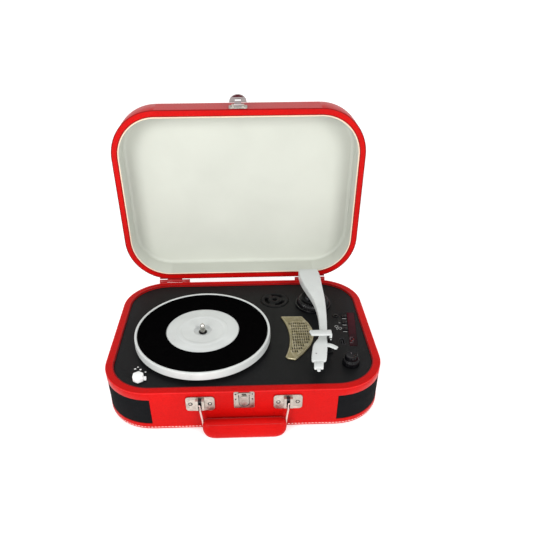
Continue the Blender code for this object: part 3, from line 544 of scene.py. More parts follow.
def stitches(name, places, facing, body, look, length, width, height=0.34):
    """One mesh of small raised threads. Facing is one direction, or a function that gives it."""
    ball = bmesh.new()
    bmesh.ops.create_uvsphere(ball, u_segments=8, v_segments=6, radius=1)
    shape = np.array([v.co for v in ball.verts])
    shape[:, 0] = np.sign(shape[:, 0]) * np.abs(shape[:, 0]) ** 0.6
    shape *= np.array((length, width, height)) * MM / 2
    faces = [[v.index for v in f.verts] for f in ball.faces]
    ball.free()
    verts, polygons = [], []
    for place, along in places:
        out = (facing(place, along) if callable(facing) else facing).normalized()
        side = out.cross(along).normalized()
        turn = np.array((along, side, out))
        start = len(verts)
        verts += list(shape @ turn + np.array(place))
        polygons += [[start + i for i in face] for face in faces]
    mesh = bpy.data.meshes.new(name)
    mesh.from_pydata([tuple(v) for v in verts], [], polygons)
    return piece(name, mesh, body, look)


def loft(sections, closed=False):
    """A skin through sections with as many points each, joined into a ring or capped."""
    bm = bmesh.new()
    rings = [[bm.verts.new(p) for p in section] for section in sections]
    first, last = rings[0], rings[-1]
    pairs = list(zip(rings, rings[1:]))
    if closed:
        shift = min(range(len(first)), key=lambda k: (first[k].co - last[0].co).length)
        pairs.append((last, first[shift:] + first[:shift]))
    else:
        bm.faces.new(first)
        bm.faces.new(last)
    for a, b in pairs:
        for i in range(len(a)):
            j = (i + 1) % len(a)
            bm.faces.new((a[i], a[j], b[j], b[i]))
    return to_mesh(bm)


def swept(points, radius, sides=10, closed=False):
    """A tube along the points."""
    points = [Vector(p) for p in points]
    count = len(points)
    angles = [math.tau * k / sides for k in range(sides)]
    sections = []
    up = Vector((0.13, 0.2, 0.97)).normalized()
    for i, point in enumerate(points):
        before = points[(i - 1) % count] if closed or i else point
        after = points[(i + 1) % count] if closed or i < count - 1 else point
        along = (after - before).normalized()
        side = along.cross(up).normalized()
        up = side.cross(along).normalized()
        sections.append([point + radius * (math.cos(a) * side + math.sin(a) * up) for a in angles])
    return loft(sections, closed)


def spline(rows, count):
    """Rows of numbers, sampled evenly along a smooth curve through them."""
    rows = [np.array(row, float) for row in rows]
    rows = [2 * rows[0] - rows[1], *rows, 2 * rows[-1] - rows[-2]]
    spans = len(rows) - 3
    made = []
    for i in range(count):
        t = spans * i / (count - 1)
        k = min(int(t), spans - 1)
        t -= k
        a, b, c, d = rows[k : k + 4]
        bend, twist = 2 * a - 5 * b + 4 * c - d, 3 * b - a - 3 * c + d
        made.append(0.5 * (2 * b + (c - a) * t + bend * t * t + twist * t**3))
    return made


def lid_point(x, y, depth):
    """A place on the open lid: x and y round its outline, and the depth behind its rim."""
    return Vector((x, LID_PLANE + depth, LID_MID - y))


FACING = {
    "up": Matrix.Identity(3),
    "down": Matrix.Rotation(math.pi, 3, "X"),
    "front": Matrix.Rotation(math.pi / 2, 3, "X"),
    "back": Matrix.Rotation(-math.pi / 2, 3, "X"),
}
# In shares of a head's radius
SCREW = [(0, 0.42), (0.45, 0.38), (0.8, 0.24), (1, 0.04), (1, -0.1), (0, -0.1)]
SCREW_SLOT = ((-0.62, -0.11, 0.12), (0.62, 0.11, 1))
RIVET = [(0, 0.5), (0.35, 0.47), (0.68, 0.34), (0.92, 0.14), (1, 0.02), (1, -0.05), (0, -0.05)]
SCREW_SHARES = (0.14, 0.5, 0.86)  # where the three screws of a hinge leaf are, along it


def screw_head(radius):
    """A countersunk cross head, facing up, its rim at height 0."""
    mesh = spun([(r * radius, z * radius) for r, z in SCREW], 24)
    low, high = ([part * radius * MM for part in corner] for corner in SCREW_SLOT)
    return cut(mesh, *(block(low, high, turn, Vector()) for turn in (0, math.pi / 2)))


def rivet_head(radius):
    return spun([(r * radius, z * radius) for r, z in RIVET], 20)


def heads(name, shape, places, facing, body, look, slot=None):
    """Screw or rivet heads as one piece, each turned a little differently."""
    copies = []
    for i, place in enumerate(places):
        turn = FACING[facing] @ Matrix.Rotation(0.7 * i + 0.3, 3, "Z")
        copies.append(moved(shape.copy(), Vector(place), turn))
    return merged(name, copies, body, look, slot)


def merged(name, meshes, body, look, slot=None):
    """Several meshes as one piece."""
    bm = bmesh.new()
    for mesh in meshes:
        bm.from_mesh(mesh)
    return piece(name, to_mesh(bm), body, look, slot)


# ---- case


# The profiles here and below are (radius, height) in mm.
FOOT = [
    (0, -0.3), (6.6, -0.3), (7.5, -2.2), (7.4, -3.2), (6.9, -3.9), (6.2, -4), (2.6, -4), (2.2, -3.4),
    (0, -3.4),
]
CASE_STITCH, GRIP_STITCH = 4.3 * MM, 3.4 * MM  # from one stitch to the next


def case_pieces():
    for node in ("bottom_panel", "deck_plate"):
        eased(node, 0.3 * MM)
    for node in ("base_shell", "speaker_grille_left", "speaker_grille_right"):
        eased(node, 0.35 * MM, angle=50)
    for row in ("front", "rear"):
        for side in ("left", "right"):
            node = f"foot_{row}_{side}"
            turned(node, FOOT, below(node), 40)

    def outward(place, along):
        return Vector((along.y, -along.x, 0))

    seam = even(case_line(-0.08 * MM, 3.8 * MM), CASE_STITCH)
    stitches("case_stitching", seam, outward, "case", PALE_THREAD, 2.9, 1.25)
    for name, inset, drop, radius, look in (
        # The bead along the case's outer top edge is a lighter red: a painted highlight.
        ("case_highlight_bead", 0.55, 0.7, 0.62, HIGHLIGHT_RED),
        # The dark red tube just inside the case's rim is painted shade where the rim's inner wall meets the
        # deck.
        ("case_rim_inner_shade", 9.9, 0.5, 0.85, SHADOW_RED),
    ):
        line = case_line(inset * MM, CASE_TOP - drop * MM)
        piece(name, swept(line, radius * MM, 8, True), "case", look, "leatherette_red")
    seam = even(case_line(6.5 * MM, 0.1 * MM), CASE_STITCH)
    stitches("case_under_stitching", seam, Vector((0, 0, -1)), "case", RED_THREAD, 2.9, 0.8)
    corners = ((HALF_X - 30 * MM, 40 * MM), (60 * MM, HALF_Y - 22 * MM))
    places = [(sx * x, sy * y, -0.05 * MM) for sx in (-1, 1) for sy in (-1, 1) for x, y in corners]
    heads("bottom_screws", screw_head(3.2), places, "down", "case", "steel")


def lid_pieces():
    eased("lid_shell", 0.35 * MM, angle=50)
    eased("lid_lining", 0.3 * MM, angle=50)

    def round_lid(inset, depth):
        return [lid_point(p.x, p.y, depth) for p in outline(inset, LID_CORNER)]

    def outward(place, along):
        side = along.cross(Vector((0, 1, 0)))
        return side if side.dot(place - Vector((0, 0, LID_MID))) > 0 else -side

    for name, inset, depth, radius, look, slot in (
        ("lid_edge_trim", 9.6, 0.75, 0.85, PEACH, "lining_cream"),
        # A dark red line near the rim's inner edge: painted shade.
        ("lid_welt_shade", 8.1, 0.22, 0.55, SHADOW_RED, "leatherette_red"),
        # A dark red line where the lid's outer side meets its rim: painted shade.
        ("lid_seam_shade", 0.45, 0.5, 0.5, SHADOW_RED, "leatherette_red"),
    ):
        line = round_lid(inset * MM, depth * MM)
        piece(name, swept(line, radius * MM, 8, True), "lid", look, slot)
    seam = even(round_lid(-0.12 * MM, LID_BACK - LID_PLANE - 3.2 * MM), CASE_STITCH)
    stitches("lid_stitching", seam, outward, "lid", PALE_THREAD, 2.9, 0.9)


# ---- turntable


PLATTER_PROFILE = [
    (3.9, 70), (10, 70), (10.7, 70.2), (11.3, 71.4), (11.9, 73.4), (12.4, 73.9), (13.2, 74),
    (27.6, 74), (28.4, 74.1), (29.4, 74.4), (30.2, 74.5), (32.6, 74.5), (33.5, 74.4), (34.4, 74.1),
    (35.2, 74), (47.6, 74), (48.4, 73.9), (48.8, 73.5), (49, 73.1), (87.8, 73.1), (88, 73.6),
    (88.1, 74.5), (88.5, 74.9), (89.2, 75), (90.2, 75), (90.9, 74.7), (91.25, 74.1), (91.3, 73),
    (91.5, 66), (91.6, 64.5), (91.3, 64), (90, 64), (89.6, 64.3), (88.6, 71.4), (62, 71.4),
    (61.8, 64.6), (60.2, 64.6), (60, 71.4), (14, 71.4), (14, 66), (3.9, 66),
]
SLIPMAT = [(49.4, 73.5), (49.35, 74.3), (49.8, 74.6), (87, 74.6), (87.5, 74.35), (87.55, 73.5)]
SPINDLE = [
    (0, 84.4), (0.8, 84.3), (1.5, 83.9), (2.3, 82.9), (3.1, 81.4), (3.42, 80.2), (3.5, 79.4), (3.5, 75.6),
    (3.5, 50.4), (0, 50.4),
]
WASHER = [(3.55, 71.5), (5, 71.5), (5.45, 71.3), (5.6, 70.9), (5.6, 70.4), (3.55, 70.4)]
ADAPTER = [
    (3.8, 59.9), (4.2, 60.1), (7.8, 60.1), (8.5, 59.8), (9.2, 59.5), (15.9, 59.5), (16.8, 59.7),
    (17.3, 59.9), (19.4, 59.9), (20.1, 59.7), (20.4, 59.1), (20.4, 55), (3.8, 55),
]
# Black rings of painted shade: one in the gap round the adapter, one on the floor seen through its windows.
SEAT_GAP_SHADE = [(20.9, 58.7), (21.1, 58.95), (22, 58.95), (22.2, 58.7)]
SEAT_FLOOR_SHADE = [(8.6, 55.05), (8.6, 55.3), (16.6, 55.3), (16.6, 55.05)]


def turntable_pieces():
    at = below("platter")
    turned("platter", PLATTER_PROFILE, at, 144, True, smooth=28)
    turned("slipmat", SLIPMAT, at, 144, True)
    turned("platter_spindle", SPINDLE, at, 40, name="spindle_surface", look=SPINDLE_METAL)
    washer = moved(spun(WASHER, 48, True), at)
    piece("spindle_washer", washer, "turntable", LOOKS["plastic_gloss_black"], "chrome")


def adapter_piece():
    at = below("adapter_45")
    windows = []
    for turn in (30, 150, 270):
        ring = arc((0, 0), 15.4 * MM, turn, turn + 78, 14) + arc((0, 0), 9.8 * MM, turn + 78, turn, 12)
        windows.append(loft([[Vector((p.x, p.y, z * MM)) for p in ring] for z in (50, 65)]))
    mesh = applied(cut(spun(ADAPTER, 96, True), *windows), rounded_edges(0.2 * MM, 2, 40))
    stand_in("adapter_45", moved(mesh, at), "adapter_surface")
    # Painted shade in the adapter's seat, as two black rings on the case.
    for name, profile, steps in (("floor", SEAT_FLOOR_SHADE, 64), ("edge", SEAT_GAP_SHADE, 96)):
        mesh = moved(spun(profile, steps, True), at)
        piece("adapter_seat_shade_" + name, mesh, "case", GAP_SHADE_BLACK, "plastic_black")


# ---- tonearm


# y, middle x, half width, top, underside (mm), as in the CAD arm
ARM_ROWS = (
    (107.5, 101, 13.2, 92.4, 85), (103, 101.1, 14.8, 93.4, 83.6), (88, 101.8, 15.4, 93.4, 81.2),
    (72, 103.3, 13.9, 92.3, 79.6), (56, 105.5, 11.8, 90.6, 78.7), (40, 107.9, 9.7, 88.8, 78),
    (24, 109.4, 7.8, 87, 77.4), (4, 109.7, 6.3, 84.8, 76.9), (-16, 108.7, 5.5, 83, 76.4),
    (-36, 106.7, 5.1, 81.6, 76), (-50, 104.2, 5.7, 80.9, 75.8), (-58, 101.6, 7.7, 80.9, 75.8),
    (-68, 98.6, 9.4, 80.8, 75.8), (-92.5, 94.2, 9.5, 79.6, 76), (-98, 93.4, 7.2, 79, 76.4),
)
FINGER_ROWS = (  # x, y, middle z, half width (mm)
    (105.4, -65.6, 78.6, 4.6), (110, -66.3, 78.9, 3.9), (114.5, -68.2, 78.5, 3.7), (119.9, -72.3, 77.9, 3.5),
)
CARTRIDGE_ROWS = (  # as ARM_ROWS
    (-98.3, 93.2, 5.9, 79.5, 76.2), (-103, 92.6, 5.9, 79.8, 76.1),
    (-108.5, 91.9, 5.8, 79.3, 76.1), (-110.9, 91.6, 5.3, 78.3, 76.3),
)
STYLUS_ROWS = (  # as ARM_ROWS
    (-111.5, 91.4, 2.2, 78.1, 76.4), (-113.8, 91.4, 2.1, 77.8, 76.5), (-114.9, 91.4, 1.6, 77.4, 76.6),
)
STYLUS_TIP = [(0, 0), (0.5, 0), (0.3, -0.9), (0, -1.3)]
TURRET = [
    (0, 60), (4.5, 60), (4.5, 69.4), (4.9, 69.6), (18.4, 69.6), (19.6, 69.4), (21.2, 68.8), (22.4, 67.4),
    (23.4, 65.6), (24, 63.4), (24.3, 62.3), (25.2, 62.1), (26.1, 61.8), (26.4, 61.2), (26.4, 59.1),
    (7, 59.1), (7, 49), (0, 49),
]
LIFT_STUD = [(0, 76.6), (3, 76.6), (3.9, 76.2), (4.3, 75.4), (4.3, 70.5), (0, 70.5)]
PIVOT_PIN = [(0, 8.8), (0.9, 8.8), (1.2, 8.5), (1.2, -8.5), (0.9, -8.8), (0, -8.8)]
ALONG_X = Matrix.Rotation(math.pi / 2, 3, "Y")


def arm_ring(y, mid, half, top, low, shrink=0.0):
    """A section of the arm: a flat top with broad soft shoulders."""
    half, top, low = half - shrink, top - shrink * 0.7, low + shrink * 0.4
    high_r, low_r = min(2.6, 0.42 * half, 0.5 * (top - low)), min(0.9, 0.2 * (top - low))
    high, deep = (top - high_r, high_r), (low + low_r, low_r)
    points = []
    for sx, (z, r), start in ((1, high, 0), (-1, high, 90), (-1, deep, 180), (1, deep, 270)):
        shoulder = arc((mid + sx * (half - r), z), r, start, start + 90, 5)
        points += [mm(p.x, y, p.y) for p in shoulder]
    return points


def arm_shell():
    """The arm, with the slots for its yoke and pin and the groove above its head."""
    rows = spline(ARM_ROWS, 64)
    back, front = rows[0], rows[-1]
    sections = [arm_ring(back[0] - y, *back[1:], shrink=by) for y, by in ((0, 2.2), (0.5, 0.9), (1.3, 0.2))]
    sections += [arm_ring(*row) for row in rows[2:-1]]
    sections += [arm_ring(front[0] + 0.4, *front[1:], shrink=0.25), arm_ring(*front, shrink=0.9)]
    pivot = Vector(JOINT["tonearm_lift"]["pos_m"])
    gaps = []
    for side in (-1, 1):
        x = pivot.x + side * 7.2 * MM
        low = (x - 1.9 * MM, pivot.y - 8.5 * MM, 0.07)
        gaps.append(block(low, (x + 1.9 * MM, pivot.y + 8.5 * MM, 0.0892)))
    gaps.append(moved(spun([(0, 10), (1.6, 10), (1.6, -10), (0, -10)], 20), pivot, ALONG_X))
    groove = block((0.07, -0.0596, 0.0803), (0.13, -0.0592, 0.09))
    return cut(loft(sections), *gaps, groove)


def finger_lift():
    """The curved finger rest at the head's right."""
    path = spline(FINGER_ROWS, 14)
    sections = []
    for i, (x, y, z, wide) in enumerate(path):
        if i == len(path) - 1:
            wide *= 0.8
        across = Vector((0.42 + 0.02 * i, 0.9, 0)).normalized()
        section = []
        for angle in np.linspace(0, math.tau, 17)[:-1]:
            reach, rise = wide * math.cos(angle), 1.05 * math.sin(angle)
            reach = math.copysign(abs(reach) ** 0.8 * wide**0.2, reach)
            section.append((Vector((x, y, z + rise)) + across * reach) * MM)
        sections.append(section)
    return loft(sections)


def arm_pieces():
    stand_in("tonearm", arm_shell(), smooth=30)
    piece("finger_lift", finger_lift(), "arm", "plastic_white")

    rows = spline(CARTRIDGE_ROWS, 16)
    mesh = loft([arm_ring(*row, shrink=0.5 if i in (0, 15) else 0.0) for i, row in enumerate(rows)])
    gaps = [block((0.086, y * MM, 0.0793), (0.0985, (y + 0.5) * MM, 0.081)) for y in (-101.5, -102.8, -104.1)]
    gaps += [block((x * MM, -0.1085, 0.0794), ((x + 0.55) * MM, -0.1003, 0.082)) for x in (89.1, 94.4)]
    stand_in("cartridge", cut(mesh, *gaps))
    tip = moved(spun(STYLUS_TIP, 12), mm(91.4, -113.6, 76.9))
    stand_in("stylus", cut(loft([arm_ring(*row) for row in STYLUS_ROWS]), tip, operation="UNION"))
    spots = [mm(91.6, -84, 80.15)]
    heads("headshell_screws", screw_head(1.1), spots, "up", "arm", "steel")

    def ribbed(angle, r, z):
        return r + (0.28 * math.cos(48 * angle) if 20 < r < 24.1 and z > 62.5 else 0)

    mesh = moved(spun(TURRET, 288, scallop=ribbed), below("tonearm_turret"))
    stand_in("tonearm_turret", mesh, "turret_surface")
    eased("tonearm_yoke")
    mesh = moved(spun(LIFT_STUD, 40), mm(96.1, 52, 0))
    piece("lift_stud", mesh, "arm_base", DARK_METAL_AND_SHADE, "plastic_black")
    eased("arm_rest", 0.3 * MM)
    eased("arm_clip", 0.35 * MM, 3)
    mesh = moved(spun(PIVOT_PIN, 24), middle("tonearm_pivot_pin"), ALONG_X)
    stand_in("tonearm_pivot_pin", mesh, "pivot_pin_surface")


# ---- controls on the deck


KNOB = [
    (0, 72.6), (4.4, 72.6), (5.6, 72.8), (6.4, 73.15), (7.2, 73.1), (7.8, 72.6), (8.05, 71.8), (8.45, 68.4),
    (8.6, 67.4), (8.9, 67), (9.5, 66.8), (10, 66.5), (10.35, 65.9), (10.8, 63.6), (11.3, 61),
    (11.3, 60), (11, 59.5), (2.8, 59.4), (2.8, 50), (0, 50),
]
JACK = [
    (0, 49), (1.8, 49), (1.8, 59.5), (2.1, 59.95), (2.9, 60), (3.7, 60), (4.2, 59.8), (4.4, 59.4),
    (4.4, 59.1), (3.3, 59.1), (3.3, 47), (0, 47),
]
MARK_RING = [(2, 58.78), (2, 58.86), (2.6, 58.86), (2.6, 58.78)]
STRIP_TURN = math.radians(-6.6)  # how far the display and its buttons are turned on the deck
BUTTON_MARKS = (  # across, along, width, length (mm)
    (-9.8, 23.4, 5.6, 0.9), (-9.8, 7.8, 5.6, 0.9), (-9.8, -8, 5.6, 0.9),
    (-17.6, 12.6, 0.8, 1.6), (-16.2, 12.6, 0.8, 1.6),
)
DISPLAY_MARKS = (
    (-2.2, -21, 4.4, 0.7), (-2.6, -33.4, 4.4, 0.7), (-3.9, -25, 1.5, 1.5), (-0.6, -29, 1.5, 1.5),
)
DISPLAY_DOTS = ((0.6, -25, 1.5, 1.5), (-2.6, -29, 1.5, 1.5))


def strip_marks(name, bars, look, slot, raised=0.0):
    """Printed bars beside or on the display window, turned with it."""
    centre = below("display_window")
    turn = Matrix.Rotation(STRIP_TURN, 3, "Z")
    base = DECK_TOP + raised * MM
    meshes = []
    for across, along, width, length in bars:
        place = centre + turn @ mm(across, along, 0)
        half = mm(width, length, 0) / 2
        low, high = place - half, place + half
        low.z, high.z = base - 0.02 * MM, base + 0.05 * MM
        meshes.append(block(low, high, STRIP_TURN))
    merged(name, meshes, "case", look, slot)


def control_pieces():
    def fluted(angle, r, z):
        return r - (0.34 * max(0, math.cos(14 * angle)) ** 2 if z > 60.5 and 7.9 < r < 11.2 else 0)

    at = Vector(JOINT["volume_turn"]["pos_m"])
    at.z = 0
    stand_in("volume_knob", moved(spun(KNOB, 252, scallop=fluted), at))
    low = (at.x - 0.4 * MM, at.y + 2.6 * MM, 72.4 * MM)
    line = applied(block(low, (at.x + 0.4 * MM, at.y + 5.4 * MM, 72.86 * MM)), rounded_edges(0.1 * MM))
    piece("volume_pointer", line, "volume", DIM_PRINT, "plastic_gloss_black")

    # The speed knob gets a paler copy of the white plastic: painted highlight.
    eased("speed_knob", 0.3 * MM, 3, LIT_KNOB_WHITE)
    eased("display_window")
    for node in ("button_back", "button_play", "button_next"):
        eased(node, 0.3 * MM, 3)
    eased("usb_socket", 0.12 * MM, look=DARK_METAL_AND_SHADE)
    turned("headphone_jack", JACK, below("headphone_jack"), 40, name="jack_surface")

    strip_marks("button_marks", BUTTON_MARKS, PRINT, "plastic_white")
    strip_marks("display_marks", DISPLAY_MARKS, DIM_PRINT, "plastic_white", 0.4)
    strip_marks("display_dots", DISPLAY_DOTS, RED_PRINT, "display_maroon", 0.4)
    ring = moved(spun(MARK_RING, 40, True), mm(131.6, 1.8, 0))
    glyph = [moved(ring.copy(), mm(x, y, 0)) for x, y in ((0, 0), (4.6, -4.6))]
    glyph.append(block(mm(131.2, -6.4, 58.78), mm(132.0, -0.6, 58.86)))
    merged("socket_mark", glyph, "case", PRINT, "plastic_white")
    marks = []
    for x, y, size in ((-138, -80.5, 2.3), (-135, -77, 1.8), (-131, -82, 2.4), (-124, -87, 2.0)):
        low = mm(x - size / 2, y - size / 2, 58.78)
        marks.append(block(low, low + mm(size, size, 0.08), 0.5))
    merged("speed_marks", marks, "case", LIGHT_PRINT, "plastic_white")


# The deck grille's right side, from its lower tip round to its upper left corner (mm)
GRILLE_EDGE = (
    (55.6, -66.3), (57.5, -69), (67.4, -71.8), (79.5, -58.4), (90.1, -42.2), (94.4, -31.7), (96.8, -21.8),
    (97.4, -11.7), (96.2, -1.4), (93, 9.6), (87.9, 20.4), (84.6, 25.6), (55.5, 26.6),
)


def grille_pieces():
    eased("deck_grille", 0.15 * MM, 1)
    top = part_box("deck_grille")[1].z
    left = arc((PLATTER.x, PLATTER.y), 118 * MM, 22.4, -22.2, 24)  # keeps clear of the platter
    rim = [p.to_3d() for p in left + [mm(*p) for p in GRILLE_EDGE]]
    count = len(rim)
    inner = []
    for i in range(count):
        along = (rim[(i + 1) % count] - rim[i - 1]).normalized()
        inner.append(rim[i] + Vector((-along.y, along.x, 0)) * 1.25 * MM + Vector((0, 0, top - 0.3 * MM)))
    inner = [place for place, _ in even(inner, 1.8 * MM)]
    # The raised rim round the grille is a paler gold than the grille: a painted highlight.
    piece("grille_rim_highlight", swept(inner, 0.8 * MM, 10, True), "case", HIGHLIGHT_GOLD, "grille_gold")


# ---- front and rear fittings


HINGE_PIN = [(0, 24), (0.8, 24), (1, 23.8), (1, -23.8), (0.8, -24), (0, -24)]
# A dark ring round a rivet head: painted shade.
RIVET_SHADE_RING = [(1.75, -0.05), (1.9, 0.28), (2.5, 0.28), (2.7, -0.05)]
BRACKET_X, BRACKET_Z = 53.5 * MM, 43.2 * MM
LEVER_HALF = 6.25 * MM
HASP_LEAN = math.radians(40)  # how far the open hasp's tongue points up from level


def hinge_pieces():
    for side in ("left", "right"):
        node = f"hinge_{side}_pin"
        stand_in(node, moved(spun(HINGE_PIN, 20), middle(node), ALONG_X))
        for part, body, facing in (("base", "case", "back"), ("lid", "lid", "down")):
            leaf = f"hinge_{side}_{part}_leaf"
            eased(leaf, 0.15 * MM)
            low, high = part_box(leaf)
            y, z = HALF_Y + 1.5 * MM, low.z + 6 * MM
            if part == "lid":
                y, z = high.y - 6 * MM, LID_MID - HALF_Y - 1.5 * MM
            spots = [(low.x + t * (high.x - low.x), y, z) for t in SCREW_SHARES]
            heads(f"hinge_{side}_{part}_screws", screw_head(2.2), spots, facing, body, "steel")


def bracket_pieces():
    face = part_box("handle_bracket_left")[1].y - 1.4 * MM
    z = BRACKET_Z
    for side, x in (("left", -BRACKET_X), ("right", BRACKET_X)):
        node = f"handle_bracket_{side}"
        eased(node, 0.5 * MM, 3)
        spots = [(x + sx * 11.8 * MM, face, z) for sx in (-1, 1)]
        heads(f"bracket_rivets_{side}", rivet_head(1.7), spots, "front", "case", "chrome")
        # A dark ring round each rivet head: painted shade where the head meets the bracket.
        ring = spun(RIVET_SHADE_RING, 28, True)
        heads(f"bracket_rivet_shades_{side}", ring, spots, "front", "case", DARK_METAL_AND_SHADE, "chrome")
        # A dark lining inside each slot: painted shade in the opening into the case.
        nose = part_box(node)[0].y - 0.05 * MM
        low = (x - 2.17 * MM, nose, z - 9 * MM)
        lining = block(low, (x + 2.17 * MM, face - 0.02 * MM, z + 9.05 * MM))
        low = (x - 2.02 * MM, nose - 1 * MM, z - 10 * MM)
        bore = block(low, (x + 2.02 * MM, face - 0.2 * MM, z + 6.8 * MM))
        piece(f"bracket_slot_shade_{side}", cut(lining, bore), "case", DARK_METAL_AND_SHADE, "chrome")


def latch_pieces():
    for node in ("latch_plate", "latch_lever", "hasp_plate"):
        eased(node, 0.22 * MM)
    # The tongue gets a pinker copy of the nickel: a painted pink reflection.
    eased("hasp_tongue", 0.22 * MM, look=TONGUE_REFLECTION_NICKEL)
    spots = [(sx * 10.2 * MM, -130.5 * MM, z * MM) for sx in (-1, 1) for z in (49.4, 57.4)]
    heads("latch_rivets", rivet_head(1.1), spots, "front", "case", DARK_METAL_AND_SHADE, "chrome")
    # A dark line round the lever's front edge: painted shadow of the gap between lever and plate.
    front = JOINT["latch_release"]["pos_m"][1] - 0.7 * MM
    shade_rail = [Vector((p.x, front, p.y)) for p in arc((0, 45.5 * MM), LEVER_HALF, 180, 360, 20)]
    ends = [Vector((x, front, 57.6 * MM)) for x in (-LEVER_HALF, LEVER_HALF)]
    shade_rail = [ends[0], *shade_rail, ends[1]]
    piece("lever_shadow_outline", swept(shade_rail, 0.42 * MM, 8), "lever", DARK_METAL_AND_SHADE, "chrome")
    # A dark block on the lever's top edge is painted shade in its slot; a dark line crosses the lever lower
    # down.
    slot = block((-2.5 * MM, front - 0.12 * MM, 58.4 * MM), (2.5 * MM, front + 0.3 * MM, 59.7 * MM))
    line = block((-4.6 * MM, front - 0.1 * MM, 54.2 * MM), (4.6 * MM, front + 0.3 * MM, 54.75 * MM))
    merged("lever_slot_shade_and_line", [slot, line], "lever", DARK_METAL_AND_SHADE, "chrome")
    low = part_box("hasp_plate")[0]
    spots = [(sx * 9.2 * MM, low.y + 11.2 * MM, LID_MID + HALF_Y + 1.5 * MM) for sx in (-1, 1)]
    heads("hasp_rivets", rivet_head(1.2), spots, "up", "lid", "chrome")
    # A thin dark maroon patch over the tongue's tip: a painted reflection of the red case.
    axis = Vector(JOINT["hasp_fold"]["pos_m"])
    tip = Vector((0, math.cos(HASP_LEAN), math.sin(HASP_LEAN)))
    over = Vector((0, -math.sin(HASP_LEAN), math.cos(HASP_LEAN)))
    lens = arc((0, 4.8 * MM), 10.2 * MM, 42, 138, 12)
    cap = loft([[axis + Vector((p.x, 0, 0)) + tip * p.y + over * h * MM for p in lens] for h in (0.5, 0.72)])
    piece("hasp_tip_reflection", cap, "hasp", REFLECTION_MAROON, "chrome")


# ---- handle


HANDLE_AXIS = Vector(JOINT["handle_swing"]["pos_m"])
HANDLE_TILT = math.radians(11.6)
HANDLE_DOWN = Vector((0, -math.sin(HANDLE_TILT), -math.cos(HANDLE_TILT)))
HANDLE_OUT = Vector((0, -math.cos(HANDLE_TILT), math.sin(HANDLE_TILT)))
SEAM_UP, SEAM_OUT = 10.4, 7.6  # the grip's seams, from its middle (mm)
HANDLE_DROP = 33.7  # from the axis down to the grip's middle (mm)
WIRE_ROWS = (  # across, above the grip's middle (mm), from the left bracket to the grip
    (-58.3, 33.7), (-56.2, 33.7), (-55, 33.5), (-54.2, 33), (-53.8, 32), (-53.8, 26), (-52.2, 17),
    (-51.3, 11), (-50.8, 6), (-50.6, 2.4), (-50.2, 1.1), (-49.5, 0.4), (-48.6, 0), (-46, 0),
)
GRIP_ROWS = (  # across, top and bottom from the grip's middle (mm)
    (0, 13.4, -13.2), (30, 13.4, -13.2), (38, 13.4, -13), (44, 13.3, -11.4), (48, 12.9, -8.4),
    (50.6, 11.4, -4.6), (51.9, 8.4, -0.6),
)


def on_handle(x, up, out):
    """A place on the handle in mm: across, above the grip's middle, and out from it."""
    down = HANDLE_DOWN * (HANDLE_DROP - up) * MM
    return HANDLE_AXIS + mm(x, 0, 0) + down + HANDLE_OUT * out * MM


def puffed(mesh, voxel, pressure, most):
    """The mesh as a sewn cover blown up by cloth simulation, no point moving further than most."""
    mesh = applied(mesh, ("REMESH", {"mode": "VOXEL", "voxel_size": voxel}))
    before = [v.co.copy() for v in mesh.vertices]
    pad = placed("pad", mesh)
    cloth = pad.modifiers.new("cloth", "CLOTH").settings
    cloth.quality = 8
    cloth.mass = 0.1
    cloth.use_pressure = True
    cloth.uniform_pressure_force = pressure
    cloth.effector_weights.gravity = 0
    for step in range(1, 21):
        SCENE.frame_set(step)
    mesh = baked(pad)
    SCENE.frame_set(1)
    for vertex, old in zip(mesh.vertices, before):
        move = vertex.co - old
        if move.length > most:
            vertex.co = old + move * (most / move.length)
    return applied(mesh, ("SUBSURF", {"levels": 1}))


def grip_shape():
    """The grip before it is puffed: soft-cornered sections that narrow towards its ends."""
    half = spline(GRIP_ROWS, 30)
    stations = [(-x, high, low) for x, high, low in reversed(half)] + [tuple(row) for row in half[1:]]
    sections = []
    for x, high, low in stations:
        narrow = max(0.0, (abs(x) - 42) / 10.0)
        thick = 8.7 * math.sqrt(max(0.05, 1 - 0.75 * narrow**2.2))
        mid, tall = (high + low) / 2, (high - low) / 2 - 0.5
        ring = []
        for angle in np.linspace(0, math.tau, 41)[:-1]:
            c, s = math.cos(angle), math.sin(angle)
            out = thick * math.copysign(abs(c) ** 0.62, c)
            up = tall * math.copysign(abs(s) ** 0.74, s)
            if out > 0:
                out *= 1 - 0.16 * (up / tall) ** 2
            ring.append(on_handle(x, mid + up, out))
        sections.append(ring)
    return loft(sections)


def handle_pieces():
    route = [on_handle(x, up, 0) for x, up in WIRE_ROWS]
    route += [on_handle(-x, up, 0) for x, up in reversed(WIRE_ROWS)]
    # The wire gets a paler, pinker copy of the nickel: a painted highlight.
    stand_in("handle_wire", swept(route, 1.35 * MM, 16), look=LIT_WIRE_NICKEL)

    mesh = puffed(grip_shape(), voxel=2.4 * MM, pressure=3, most=0.8 * MM)
    stand_in("handle_grip", mesh, smooth=60)
    cover = BVHTree.FromPolygons([v.co for v in mesh.vertices], [p.vertices for p in mesh.polygons])
    for name, out in (("front", SEAM_OUT), ("back", -SEAM_OUT)):
        aim = on_handle(0, 0, 0) - on_handle(0, SEAM_UP, out)
        line = []
        for x in np.linspace(-45.5, 45.5, 60):
            hit = cover.ray_cast(on_handle(x, SEAM_UP * 2, out * 2), aim.normalized())[0]
            if hit:
                line.append(hit)
        if name == "front":
            welt = swept(line, 0.55 * MM, 8)
            piece("grip_welt", welt, "handle", "leatherette_red")
        places = even(line, GRIP_STITCH, False)
        stitches(f"grip_stitching_{name}", places, -aim, "handle", RED_THREAD, 2.3, 0.7, 1.6)


# ---- what is left of the CAD


